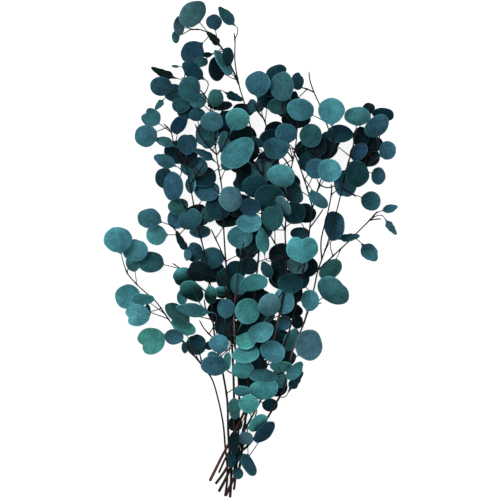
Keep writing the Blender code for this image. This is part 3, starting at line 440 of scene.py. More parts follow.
@dataclass
class Arrangement:
    """Finds every leaf's place by the rule that the model's solids were laid out with, in millimetres."""

    branches: tuple[Branch, ...]
    blade_thickness: float = 0.7
    stalk_width: float = 1.1
    root_width: float = 0.6
    straight_within: float = 1.3
    stalk_length: float = 11.0
    stalk_longest: float = 27.0
    stem_sides: int = 5
    twig_sides: int = 3
    twig_diameter: float = 1.7
    tip_diameter: float = 1.3
    taper_power: float = 1.7
    clearance: float = 0.4
    rounding: float = 0.001
    lowest_centre: float = 2.0
    lowest_point: float = 0.4
    cups: tuple = (0.02, 0.16)
    twist: float = 0.12
    long_form: float = 0.8
    stalk_lead: float = 0.45
    root_gap: float = 3.0
    forward_bonus: float = 5.0
    backward: float = -0.3
    backward_cost: float = 12.0
    crowded_cost: float = 6.0
    roots_tried: int = 24
    roots_skipped: int = 4
    bare_points: int = 5
    node_spacing: float = 5.0
    station_spacing: float = 3.0
    height_steps: tuple = (0, 2, -2, 4, -4, 6, -6, 8, -8, 10, -10, 13, -13, 16, -16, 20, 24)
    side_steps: tuple = ((0, 0), (3, 0), (-3, 0), (0, 3), (0, -3), (5, 4), (-5, 4), (5, -4), (-5, -4))
    rim_angles: tuple = (-120, -80, -40, 0, 40, 80, 120)
    small_rim_angles: tuple = (-115, -58, 0, 58, 115)
    small_radius: float = 10.2
    corner_reach: float = 1.03
    base_reach: float = 1.08
    notch_depth: float = 0.1
    notch_share: float = 0.3
    steepest: float = 72.0
    front_level: int = 2
    seed_stride: int = 1000
    flips: tuple = (1, 1, -1)
    lean_share: float = 0.5
    filler_spacing: float = 6.0
    filler_sizes: tuple = (22.0, 30.0)
    filler_near: float = 25.0
    filler_company: int = 5
    filler_apart: float = 9.0
    filler_highest: float = -3.0
    fillers_most: int = 56
    filler_rounds: int = 4
    filler_poses: int = 70
    filler_turns: tuple = (40.0, 85.0)
    filler_stalks: tuple = (0.8, 1.5)
    filler_depths: tuple = (0.65, 0.98)
    filler_seed: int = 7
    gap_share: float = 0.35
    placed: list = field(default_factory=list)
    leaves: dict = field(default_factory=dict)
    taken: dict = field(default_factory=dict)

    LEVEL_LIFT = {0: -12.0, 1: -6.0, 2: 1.0, 3: 8.0, 4: 13.0}

    def shoot_shape(self, route: tuple, diameter: float, sides: int) -> Shape:
        """The coarse stem or twig along a route, which thins fastest at its start.

        Args:
            route: Its points on the sheet.
            diameter: Its diameter where it starts.
            sides: The number of corners of a ring.

        Returns:
            The vertices and faces.
        """
        points = [on_sheet(point) for point in route]
        steps = len(points) - 1
        tip = self.tip_diameter
        fall = diameter - tip
        radii = [(tip + fall * (1 - i / steps) ** self.taper_power) / 2 for i in range(steps + 1)]
        return tube(points, radii, sides)

    def rim(self, leaf: Leaf, grow: float) -> list[tuple[float, float]]:
        """The coarse outline of a blade in its own plane.

        Args:
            leaf: The leaf.
            grow: How far the outline stands off the blade.

        Returns:
            Points (along the leaf, across it), round from one side of the stalk to the other.
        """
        half = self.stalk_width / 2 + grow
        base = -leaf.radius * self.base_reach
        points = [(base, -half)]
        for angle in self.rim_angles if leaf.radius > self.small_radius else self.small_rim_angles:
            turn = math.radians(angle)
            reach = leaf.radius * self.corner_reach * leaf.form.reach(angle) + grow
            if angle == 0:
                reach -= leaf.radius * leaf.notch
            points.append((reach * math.cos(turn), reach * math.sin(turn)))
        points.append((base, half))
        return points

    @staticmethod
    def lift(leaf: Leaf, u: float, v: float) -> float:
        """How far the blade stands off its plane at a point: a shallow cup with a slight twist."""
        return (leaf.cup * (u * u + v * v) + leaf.twist * u * v) / leaf.radius

    def stalk_axis(self, leaf: Leaf) -> tuple[Vector, Vector, Vector]:
        """The stalk's axis.

        Args:
            leaf: The leaf.

        Returns:
            The stalk's root, its bend and the blade's base.
        """
        base = leaf.centre - leaf.heading * leaf.radius * self.base_reach
        base = base + leaf.normal * self.lift(leaf, -leaf.radius * self.base_reach, 0.0)
        length = (base - leaf.root).length
        control = base - leaf.heading * length * self.stalk_lead
        # Half-way along the curve from the root to the base
        bend = leaf.root * 0.25 + control * 0.5 + base * 0.25
        return leaf.root, bend, base

    def blade_shape(self, leaf: Leaf, grow: float = 0.0) -> Shape:
        """The coarse blade as a closed shape.

        Args:
            leaf: The leaf.
            grow: How far the shape stands off the blade.

        Returns:
            The vertices and faces.
        """
        beside = leaf.normal.cross(leaf.heading)
        half = leaf.normal * (self.blade_thickness / 2 + grow)
        middle = []
        for u, v in self.rim(leaf, grow):
            middle.append(leaf.centre + leaf.heading * u + beside * v + leaf.normal * self.lift(leaf, u, v))
        count = len(middle)
        vertices = [p + half for p in middle] + [p - half for p in middle]
        vertices += [leaf.centre + half, leaf.centre - half]
        over = 2 * count
        under = over + 1
        faces = []
        for k in range(count):
            after = (k + 1) % count
            faces.append((k, after, over))
            faces.append((after + count, k + count, under))
        for k in range(count - 1):
            faces.append((k, k + count, k + 1))
            faces.append((k + 1, k + count, k + 1 + count))
        faces.append((count, 2 * count - 1, count - 1, 0))
        return vertices, faces

    def stalk_shape(self, leaf: Leaf, grow: float = 0.0) -> Shape:
        """The coarse stalk alone, as a square tube as wide as its corners need."""
        radius = self.stalk_width / math.sqrt(2) + grow
        return tube(list(self.stalk_axis(leaf)), [radius] * 3, 4)

    @staticmethod
    def tree_of(shape: Shape) -> tuple[BVHTree, list[float], list[float]]:
        """Makes a shape ready for tests of its room.

        Args:
            shape: The vertices and faces.

        Returns:
            Its search tree, its lowest corner and its highest corner.
        """
        vertices, faces = shape
        low = [min(v[i] for v in vertices) for i in range(3)]
        high = [max(v[i] for v in vertices) for i in range(3)]
        return BVHTree.FromPolygons(vertices, faces), low, high

    def keep(self, shape: Shape, owner: str) -> None:
        """Keeps a shape's room under its owner's name."""
        self.placed.append((*self.tree_of(shape), owner))

    def free(self, shape: Shape, skip: str | None = None) -> bool:
        """Whether the shape crosses nothing placed so far.

        Args:
            shape: The vertices and faces to test.
            skip: The owner whose shapes are left out.

        Returns:
            True if the room is free.
        """
        tree, low, high = self.tree_of(shape)
        for other, other_low, other_high, owner in self.placed:
            if owner == skip:
                continue
            if any(low[i] > other_high[i] or high[i] < other_low[i] for i in range(3)):
                continue
            if tree.overlap(other):
                return False
        return True

    def stations(self, branch: Branch, step: float) -> list[tuple[Vector, Vector]]:
        """Walks the leafy part of a branch.

        Args:
            branch: The branch.
            step: About how far it is from one station to the next.

        Returns:
            Points, each with the twig's direction there.
        """
        found = []
        for route in [branch.stem[self.bare_points:], *branch.twigs]:
            points = [on_sheet(p) for p in route]
            for a, b in zip(points, points[1:]):
                pieces = max(1, round((b - a).length / step))
                for i in range(pieces):
                    found.append((a.lerp(b, i / pieces), (b - a).normalized()))
            found.append((points[-1], (points[-1] - points[-2]).normalized()))
        return found

    def roots_for(self, centre: Vector, radius: float, places: list, taken: list) -> list[Vector]:
        """The likeliest places on the branch for a leaf's stalk.

        Args:
            centre: The blade's centre.
            radius: The blade's radius.
            places: The branch's stations.
            taken: The roots that other leaves of the branch use.

        Returns:
            A few points, best first.
        """
        ranked = []
        for point, direction in places:
            away = Vector((centre.x - point.x, centre.y - point.y))
            reach = away.length
            if reach < radius + self.root_gap or reach > radius + self.stalk_longest:
                continue
            forward = away.normalized().dot(Vector((direction.x, direction.y)))
            cost = abs(reach - radius - self.stalk_length) - self.forward_bonus * forward
            if forward < self.backward:
                cost += self.backward_cost
            if any((point - other).length < self.node_spacing for other in taken):
                cost += self.crowded_cost
            ranked.append((cost, len(ranked), point))
        ranked.sort()
        return [point for _, _, point in ranked[: self.roots_tried : self.roots_skipped]]

    def leaf_at(
        self, centre: Vector, root: Vector, long_axis: Vector, tilt: float, radius: float, draw: tuple
    ) -> Leaf:
        """A blade through the centre that shows its true size along its long axis and less across it.

        Args:
            centre: The blade's centre.
            root: Where the stalk leaves the twig.
            long_axis: The direction on the sheet in which the blade shows its true width.
            tilt: The blade's tilt about that direction, in radians.
            radius: The blade's radius.
            draw: The leaf's own cup, twist, notch, form and dye.

        Returns:
            The leaf.
        """
        normal = Vector((-long_axis.y * math.sin(tilt), long_axis.x * math.sin(tilt), math.cos(tilt)))
        along = Vector((centre.x - root.x, centre.y - root.y, 0.0))
        if draw[3].width < self.long_form:
            side = 1.0 if along.x * long_axis.x + along.y * long_axis.y > 0 else -1.0
            along = Vector((side * long_axis.x, side * long_axis.y, 0.0))
        along.z = -(along.x * normal.x + along.y * normal.y) / normal.z
        return Leaf(centre, normal, along.normalized(), radius, *draw, root)

    @staticmethod
    def axis_of(spot: Spot) -> Vector:
        """The direction on the sheet in which a leaf shows its long side.

        Args:
            spot: The leaf on the sheet.

        Returns:
            The direction.
        """
        if spot.turn:
            return Vector((math.cos(math.radians(spot.turn)), math.sin(math.radians(spot.turn))))
        return Vector((1.0, 0.0)) if spot.width >= spot.height else Vector((0.0, 1.0))

    def poses_of(self, spot: Spot, index: int, places: list, taken: list, lean_up: bool) -> Iterator[Leaf]:
        """Every way to try for a leaf of the layout, the likeliest first.

        Args:
            spot: The leaf on the sheet.
            index: The leaf's number, which is part of its seed.
            places: The stations that its stalk may leave from.
            taken: The roots already used.
            lean_up: Whether a higher place is tried before a lower one.

        Returns:
            The leaves to try.
        """
        source = random.Random(self.seed_stride * spot.x + spot.y + index)
        cup = source.uniform(*self.cups) * source.choice(self.flips)
        twist = source.uniform(-self.twist, self.twist)
        notch = self.notch_depth if source.random() < self.notch_share and spot.form is ROUND else 0.0
        signs = (1, -1) if source.random() < self.lean_share else (-1, 1)
        long_side = max(spot.width, spot.height)
        shown = min(1.0, min(spot.width, spot.height) / long_side / spot.form.width)
        tilt = math.acos(max(shown, math.cos(math.radians(self.steepest))))
        pressed = spot.level == PRESSED
        if pressed:
            cup = twist = tilt = 0.0
        long_axis = self.axis_of(spot)
        radius = long_side / 2 / self.corner_reach
        flat = on_sheet((spot.x, spot.y, 0.0))
        draw = (cup, twist, notch, spot.form, spot.dye)
        for shift_x, shift_y in self.side_steps:
            centre = flat + Vector((shift_x, shift_y, 0.0))
            roots = self.roots_for(centre, radius, places, taken)
            for step in self.height_steps:
                if pressed and step:
                    break
                for root in roots:
                    rise = self.LEVEL_LIFT.get(spot.level, 0.0) + (step if lean_up else -step)
                    centre.z = self.blade_thickness / 2 if pressed else max(root.z + rise, self.lowest_centre)
                    for sign in signs:
                        yield self.leaf_at(centre.copy(), root, long_axis, sign * tilt, radius, draw)

    def fits(self, leaf: Leaf, branch: Branch) -> bool:
        """Whether a leaf lies above the surface, on a stalk of a real length, clear of everything.

        Args:
            leaf: The leaf.
            branch: The branch that it is tried on.

        Returns:
            True if it fits.
        """
        lowest = min(v.z for v in self.whole_leaf_points(leaf))
        if lowest < (-self.rounding if leaf.normal.z > LEVEL_FACING else self.lowest_point):
            return False
        root, _, base = self.stalk_axis(leaf)
        if (base - root).length > self.stalk_longest:
            return False
        if not self.free(self.blade_shape(leaf, self.clearance)):
            return False
        return self.free(self.stalk_shape(leaf, self.clearance), skip=branch.name)

    def whole_leaf_points(self, leaf: Leaf) -> list[Vector]:
        """The corners of a coarse leaf, its stalk's included, from which its lowest point is read.

        Args:
            leaf: The leaf.

        Returns:
            The corners.
        """
        points = self.blade_shape(leaf)[0]
        beside = leaf.normal.cross(leaf.heading)
        root, bend, base = self.stalk_axis(leaf)
        joints = [(bend, base, self.stalk_width), (root, bend, self.root_width)]
        if (bend - root.lerp(base, 0.5)).length < self.straight_within:
            joints = [(root, base, self.root_width)]
        for point, before, width in joints:
            side = beside * width / 2
            tall = (before - point).normalized().cross(side).normalized() * width / 2
            points += [point - side + tall, point + side + tall, point + side - tall, point - side - tall]
        return points

    def place(self, leaf: Leaf, branch: Branch) -> None:
        """Puts a leaf on its branch.

        Args:
            leaf: The leaf.
            branch: The branch.
        """
        self.leaves[branch.name].append(leaf)
        self.taken[branch.name].append(leaf.root)
        self.keep(self.blade_shape(leaf), "blade")
        self.keep(self.stalk_shape(leaf), branch.name)

    def place_layout(self) -> list[tuple]:
        """Places the leaves of the layout, the pressed ones and the front ones first.

        Returns:
            What is left out, as pairs of a branch's name and a leaf.
        """
        order = []
        for branch in self.branches:
            for index, spot in enumerate(branch.leaves):
                first = math.inf if spot.level == PRESSED else spot.level
                order.append((-first, -max(spot.width, spot.height), branch.name, index, branch, spot))
        order.sort(key=lambda entry: entry[:4])
        missing = []
        for _, _, name, index, branch, spot in order:
            places = self.stations(branch, self.station_spacing)
            for leaf in self.poses_of(spot, index, places, self.taken[name], spot.level >= self.front_level):
                if self.fits(leaf, branch):
                    self.place(leaf, branch)
                    break
            else:
                missing.append((name, spot))
        return missing

    def filler_spot(
        self, point: Vector, direction: Vector, source: random.Random, dye: DyeAndShade
    ) -> tuple[Spot, Vector]:
        """A leaf drawn for a bare place on a twig.

        Args:
            point: The place on the twig.
            direction: The twig's direction there.
            source: The random draws.
            dye: The leaf's shade.

        Returns:
            The leaf on the sheet, and its place from the bunch's origin.
        """
        size = source.uniform(*self.filler_sizes)
        turn = math.radians(source.choice((-1, 1)) * source.uniform(*self.filler_turns))
        reach = size / 2 + source.uniform(*self.filler_stalks) * self.stalk_length
        depth = size * source.uniform(*self.filler_depths)
        along = math.atan2(direction.y, direction.x) + turn
        centre = Vector((point.x + reach * math.cos(along), point.y + reach * math.sin(along), point.z))
        x, y = centre.x + SHEET_CENTRE[0], SHEET_CENTRE[1] - centre.y
        return Spot(x, y, size, depth, 0, dye), centre

    def covers_gap(self, centre: Vector, radius: float) -> bool:
        """Whether a leaf would hide one of the open places.

        Args:
            centre: The blade's centre.
            radius: The blade's radius.

        Returns:
            True if it would.
        """
        for x, y, gap in GAPS:
            middle = on_sheet((x, y, 0.0))
            if math.hypot(centre.x - middle.x, centre.y - middle.y) < gap + self.gap_share * radius:
                return True
        return False

    def place_fillers(self) -> int:
        """Adds leaves behind the others, in the dark between them, coloured near-black as painted shade.

        Returns:
            How many were added.
        """
        others = [on_sheet((spot.x, spot.y, 0.0)) for branch in self.branches for spot in branch.leaves]
        source = random.Random(self.filler_seed)
        count = 0
        spacing = self.filler_spacing
        tries = [(branch, at) for branch in self.branches for at in self.stations(branch, spacing)]
        for branch, (point, direction) in tries * self.filler_rounds:
            # The fillers alternate DARK and BLACK: painted shade between the leaves
            spot, centre = self.filler_spot(point, direction, source, DARK if count % 2 else BLACK)
            spans = [math.hypot(centre.x - other.x, centre.y - other.y) for other in others]
            near = sum(span < self.filler_near for span in spans)
            if count >= self.fillers_most or min(spans) < self.filler_apart or near < self.filler_company:
                continue
            poses = self.poses_of(spot, count, [(point, direction)], [], False)
            for leaf in itertools.islice(poses, self.filler_poses):
                high = leaf.centre.z > point.z + self.filler_highest
                if self.covers_gap(leaf.centre, leaf.radius) or high:
                    continue
                if self.fits(leaf, branch):
                    self.place(leaf, branch)
                    others.append(leaf.centre)
                    count += 1
                    break
        return count

    def arrange(self) -> None:
        """Places every leaf of the bunch."""
        for branch in self.branches:
            self.leaves[branch.name] = []
            self.taken[branch.name] = []
            self.keep(self.shoot_shape(branch.stem, branch.diameter, self.stem_sides), branch.name)
            for route in branch.twigs:
                self.keep(self.shoot_shape(route, self.twig_diameter, self.twig_sides), branch.name)
        missing = self.place_layout()
        fillers = self.place_fillers()
        total = sum(len(found) for found in self.leaves.values())
        LOG.info("leaves %d, of which fillers %d, left out %d", total, fillers, len(missing))


@dataclass
class MeshDraft:
    """Vertices, faces and the values that the finishes read, gathered before one mesh is made of them."""

    vertices: list = field(default_factory=list)
    faces: list = field(default_factory=list)
    finishes: list = field(default_factory=list)
    growth: list = field(default_factory=list)
    dye: list = field(default_factory=list)

    def add(self, shape: Shape, growth: list, dye: list, finish: int = 0) -> None:
        """Adds a shape.

        Args:
            shape: The vertices, in millimetres, and the faces.
            growth: For each vertex, where it lies on its leaf or stem.
            dye: For each vertex, its colour.
            finish: The number of the shape's finish.
        """
        vertices, faces = shape
        start = len(self.vertices)
        self.vertices += vertices
        self.faces += [tuple(start + k for k in face) for face in faces]
        self.finishes += [finish] * len(faces)
        self.growth += growth
        self.dye += dye

    def piece(self, name: str, materials: list[bpy.types.Material]) -> bpy.types.Object:
        """The finished piece, linked to the scene.

        Args:
            name: The piece's name.
            materials: The materials, in the order of their numbers.

        Returns:
            The object.
        """
        mesh = bpy.data.meshes.new(name)
        mesh.from_pydata([v * MM for v in self.vertices], [], self.faces)
        for material in materials:
            mesh.materials.append(material)
        mesh.polygons.foreach_set("material_index", self.finishes)
        mesh.polygons.foreach_set("use_smooth", [True] * len(self.faces))
        growth = mesh.attributes.new("growth", "FLOAT_VECTOR", "POINT")
        growth.data.foreach_set("vector", [value for row in self.growth for value in row])
        # The dye colours also carry the painted shade of the blades and the painted highlights of the stems
        dye = mesh.attributes.new("dye", "FLOAT_COLOR", "POINT")
        dye.data.foreach_set("color", [value for row in self.dye for value in (*row, 1.0)])
        mesh.update()
        obj = bpy.data.objects.new(name, mesh)
        bpy.context.scene.collection.objects.link(obj)
        return obj


class Bench:
    """A new material's node tree, with short calls that fill it."""

    def __init__(self, name: str, gloss: float = 0.05) -> None:
        """Starts the material with its one shader.

        Args:
            name: The material's name.
            gloss: The shader's specular level.
        """
        self.material = bpy.data.materials.new(name)
        self.material.use_nodes = True
        self.tree = self.material.node_tree
        self.shader = self.tree.nodes["Principled BSDF"]
        self.feed(self.shader, "Specular IOR Level", gloss)

    def feed(self, node: bpy.types.Node, key: int | str, value: Value) -> None:
        """Links a socket to a node's input, or sets a plain value on it.

        Args:
            node: The node.
            key: The input's name or number.
            value: The socket, number or colour.
        """
        if isinstance(value, Socket):
            self.tree.links.new(value, node.inputs[key])
        else:
            node.inputs[key].default_value = value

    def node(self, kind: str, inputs: dict | None = None, **settings: str) -> bpy.types.Node:
        """Adds a node.

        Args:
            kind: The node's type.
            inputs: Values or sockets for its inputs, by name or number.
            settings: Its other properties.

        Returns:
            The node.
        """
        made = self.tree.nodes.new(kind)
        for key, value in settings.items():
            setattr(made, key, value)
        for key, value in (inputs or {}).items():
            self.feed(made, key, value)
        return made

    def math(self, operation: str, *values: Value) -> Socket:
        """The result of a sum on sockets and numbers."""
        return self.node("ShaderNodeMath", dict(enumerate(values)), operation=operation).outputs[0]

    def times(self, value: Value, gain: Value) -> Socket:
        """A product."""
        return self.math("MULTIPLY", value, gain)

    def ramp(self, value: Socket, start: Pair, end: Pair = (0.0, 1.0), kind: str = "SMOOTHSTEP") -> Socket:
        """Takes a value from one range to another.

        Args:
            value: The value.
            start: The range that it is read in.
            end: The range that it is taken to.
            kind: How it runs between the two.

        Returns:
            The result.
        """
        names = ("Value", "From Min", "From Max", "To Min", "To Max")
        inputs = dict(zip(names, (value, *start, *end)))
        return self.node("ShaderNodeMapRange", inputs, interpolation_type=kind).outputs["Result"]

    def blend(self, share: Value, first: Value, second: Value, mode: str = "MIX") -> Socket:
        """Two colours mixed by a share."""
        inputs = {0: share, 6: first, 7: second}
        return self.node("ShaderNodeMix", inputs, data_type="RGBA", blend_type=mode).outputs[2]

    def tint(self, colour: Socket, gain: Value) -> Socket:
        """A colour times another."""
        return self.blend(1.0, colour, gain, "MULTIPLY")

    def noise(self, place: Socket, scale: float, detail: float = 3.0) -> Socket:
        """Cloudy noise between about 0.25 and 0.75."""
        inputs = {"Vector": place, "Scale": scale, "Detail": detail}
        return self.node("ShaderNodeTexNoise", inputs).outputs["Fac"]

    def growth(self) -> Socket:
        """Where a point lies on its leaf or stem."""
        return self.node("ShaderNodeAttribute", attribute_name="growth").outputs["Vector"]

    def dye(self) -> Socket:
        """The colour that the mesh carries."""
        return self.node("ShaderNodeAttribute", attribute_name="dye").outputs["Color"]

    def place(self) -> Socket:
        """Where a point is on the object, in metres."""
        return self.node("ShaderNodeTexCoord").outputs["Object"]

    def split(self, vector: Socket) -> bpy.types.NodeOutputs:
        """A vector's three parts."""
        return self.node("ShaderNodeSeparateXYZ", {0: vector}).outputs

    def finish(self, colour: Value, roughness: Value, bump: Socket, relief: Pair) -> bpy.types.Material:
        """Joins the results to the shader.

        Args:
            colour: The surface's colour.
            roughness: Its roughness.
            bump: The height for the bump.
            relief: The bump's strength and its depth in metres.

        Returns:
            The material.
        """
        strength, depth = relief
        raised = self.node("ShaderNodeBump", {"Strength": strength, "Distance": depth, "Height": bump})
        self.feed(self.shader, "Normal", raised.outputs["Normal"])
        self.feed(self.shader, "Base Color", colour)
        self.feed(self.shader, "Roughness", roughness)
        return self.material


@dataclass(frozen=True)
class LeafFinish:
    """Dyed and preserved leaf skin: matt, with a midrib, side veins, a pale edge and clouded dye."""

    gloss: float = 0.0
    roughness: Pair = (0.44, 0.58)
    cloud: Pair = (90.0, 4.0)
    cloud_range: Pair = (0.3, 0.7)
    cloud_shade: Pair = (0.74, 1.26)
    mottle: Pair = (420.0, 4.0)
    mottle_range: Pair = (0.35, 0.65)
    mottle_shade: Pair = (0.82, 1.2)
    speck: Pair = (1500.0, 2.0)
    speck_height: float = 0.5
    pale_edge: Colour = (0.10, 0.27, 0.26, 1.0)
    pale_gain: Colour = (1.5, 1.5, 1.5, 1.0)
    pale_mix: float = 0.07
    edge_range: Pair = (0.90, 0.97)
    edge_share: float = 0.8
    vein_share: float = 0.4
    vein_height: float = 0.6
    vein_count: float = 6.5
    vein_slope: float = 0.8
    vein_bend: float = 0.12
    vein_range: Pair = (0.16, 0.02)
    vein_end: Pair = (0.93, 0.8)
    border_at: float = 0.9
    border_range: Pair = (0.02, 0.004)
    fine_share: float = 0.55
    midrib_taper: float = 0.014
    midrib_range: Pair = (0.05, 0.015)
    relief: Pair = (0.35, 0.00025)

    def material(self) -> bpy.types.Material:
        """The leaf's material."""
        bench = Bench("dyed_leaf_skin", self.gloss)
        along, across, reach = bench.split(bench.growth())
        place = bench.place()
        clouds = bench.noise(place, *self.cloud)
        specks = bench.noise(place, *self.speck)
        mottle = bench.noise(place, *self.mottle)
        veins = self.veins(bench, along, across, reach, clouds)
        shade = bench.ramp(clouds, self.cloud_range, self.cloud_shade, "LINEAR")
        grain = bench.ramp(mottle, self.mottle_range, self.mottle_shade, "LINEAR")
        shade = bench.times(shade, grain)
        grey = bench.node("ShaderNodeCombineColor", {0: shade, 1: shade, 2: shade}).outputs[0]
        tinted = bench.tint(bench.dye(), grey)
        lighter = bench.blend(self.pale_mix, bench.tint(tinted, self.pale_gain), self.pale_edge)
        veined = bench.blend(bench.times(veins, self.vein_share), tinted, lighter)
        edge = bench.times(bench.ramp(reach, self.edge_range), self.edge_share)
        colour = bench.blend(edge, veined, lighter)
        rough = bench.ramp(specks, self.cloud_range, self.roughness, "LINEAR")
        ridges = bench.times(veins, self.vein_height)
        height = bench.math("ADD", ridges, bench.times(specks, self.speck_height))
        return bench.finish(colour, rough, height, self.relief)

    def veins(self, bench: Bench, along: Socket, across: Socket, reach: Socket, clouds: Socket) -> Socket:
        """Where the veins are.

        Args:
            bench: The material's bench.
            along: How far along the blade a point is, from -1 to 1.
            across: How far across it.
            reach: How far out from its centre, 1 at the rim.
            clouds: Noise that bends the veins a little.

        Returns:
            1 on a vein and 0 between them.
        """
        side = bench.math("ABSOLUTE", across)
        midrib = bench.ramp(bench.math("ADD", side, bench.times(along, self.midrib_taper)), self.midrib_range)
        bent = bench.math("ADD", along, bench.times(clouds, self.vein_bend))
        step = bench.math("SUBTRACT", bent, bench.times(side, self.vein_slope))
        ladder = bench.math("FRACT", bench.times(step, self.vein_count))
        line = bench.ramp(bench.math("ABSOLUTE", bench.math("SUBTRACT", ladder, 0.5)), self.vein_range)
        inside = bench.ramp(reach, self.vein_end)
        off_border = bench.math("ABSOLUTE", bench.math("SUBTRACT", reach, self.border_at))
        border = bench.ramp(off_border, self.border_range)
        fine = bench.times(bench.math("MAXIMUM", bench.times(line, inside), border), self.fine_share)
        return bench.math("MAXIMUM", midrib, fine)


@dataclass(frozen=True)
class StalkFinish:
    """The leaf stalk and midrib: smooth, from brown at the twig to the blade's own dye."""

    roughness: float = 0.45
    grain_scale: float = 900.0
    grain_share: float = 0.5
    brown: Colour = (0.012, 0.010, 0.010, 1.0)
    relief: Pair = (0.3, 0.0002)

    def material(self) -> bpy.types.Material:
        """The stalk's material."""
        bench = Bench("dyed_stalk_skin")
        grain = bench.noise(bench.place(), self.grain_scale)
        colour = bench.blend(bench.times(grain, self.grain_share), bench.dye(), self.brown)
        return bench.finish(colour, self.roughness, grain, self.relief)


@dataclass(frozen=True)
class BarkFinish:
    """Thin bark: streaks and patches in shades of the stem's own colour, pale streaks of painted highlight,
    and small pale pores.
    """

    roughness: float = 0.62
    stretch: tuple = (0.05, 1.6, 1.6)
    streak: Pair = (1.6, 5.0)
    streak_range: Pair = (0.50, 0.70)
    streak_gain: Colour = (2.6, 1.5, 1.4, 1.0)
    streak_height: float = 0.8
    patch_scale: float = 70.0
    patch_range: Pair = (0.45, 0.65)
    patch_gain: Colour = (0.5, 0.6, 0.7, 1.0)
    share: float = 0.6
    # Pale streaks along the bark: painted highlights
    highlight_streak_range: Pair = (0.46, 0.30)
    highlight_streak_gain: Colour = (3.6, 3.6, 3.6, 1.0)
    painted_highlight_share: float = 0.5
    pore_scale: float = 520.0
    pore_range: Pair = (0.22, 0.12)
    pore_share: float = 0.12
    pore: Colour = (0.16, 0.10, 0.085, 1.0)
    relief: Pair = (0.5, 0.0004)

    def material(self) -> bpy.types.Material:
        """The bark's material."""
        bench = Bench("stem_bark")
        dye = bench.dye()
        inputs = {0: bench.growth(), 1: self.stretch}
        stretched = bench.node("ShaderNodeVectorMath", inputs, operation="MULTIPLY")
        streaks = bench.noise(stretched.outputs[0], *self.streak)
        patches = bench.noise(bench.place(), self.patch_scale)
        pores = bench.node("ShaderNodeTexVoronoi", {"Vector": bench.place(), "Scale": self.pore_scale})
        colour = dye
        # The last pass lays the pale streaks of painted highlight
        for value, start, share, gain in (
            (streaks, self.streak_range, self.share, self.streak_gain),
            (patches, self.patch_range, self.share, self.patch_gain),
            (streaks, self.highlight_streak_range, self.painted_highlight_share, self.highlight_streak_gain),
        ):
            colour = bench.blend(bench.times(bench.ramp(value, start), share), colour, bench.tint(dye, gain))
        pored = bench.times(bench.ramp(pores.outputs["Distance"], self.pore_range), self.pore_share)
        colour = bench.blend(pored, colour, self.pore)
        height = bench.math("ADD", bench.times(streaks, self.streak_height), pored)
        return bench.finish(colour, self.roughness, height, self.relief)


@dataclass(frozen=True)
class CutWoodFinish:
    """The cut ends: pale wood with a darker pith, stained by the dye."""

    roughness: float = 0.8
    wood: Colour = (0.22, 0.13, 0.085, 1.0)
    late_wood: Colour = (0.12, 0.065, 0.04, 1.0)
    late_share: float = 0.3
    ring_count: float = 5.0
    stain: Colour = (0.05, 0.06, 0.06, 1.0)
    stain_range: Pair = (0.4, 0.7)
    pith: Colour = (0.03, 0.018, 0.012, 1.0)
    pith_range: Pair = (0.25, 0.12)
    grain: Pair = (1800.0, 4.0)
    relief: Pair = (0.6, 0.0003)

    def material(self) -> bpy.types.Material:
        """The cut wood's material."""
        bench = Bench("cut_wood")
        radius = bench.split(bench.growth())[0]
        grain = bench.noise(bench.place(), *self.grain)
        rings = bench.math("FRACT", bench.times(radius, self.ring_count))
        ringed = bench.blend(bench.times(rings, self.late_share), self.wood, self.late_wood)
        stained = bench.blend(bench.ramp(grain, self.stain_range), ringed, self.stain)
        colour = bench.blend(bench.ramp(radius, self.pith_range), stained, self.pith)
        return bench.finish(colour, self.roughness, grain, self.relief)


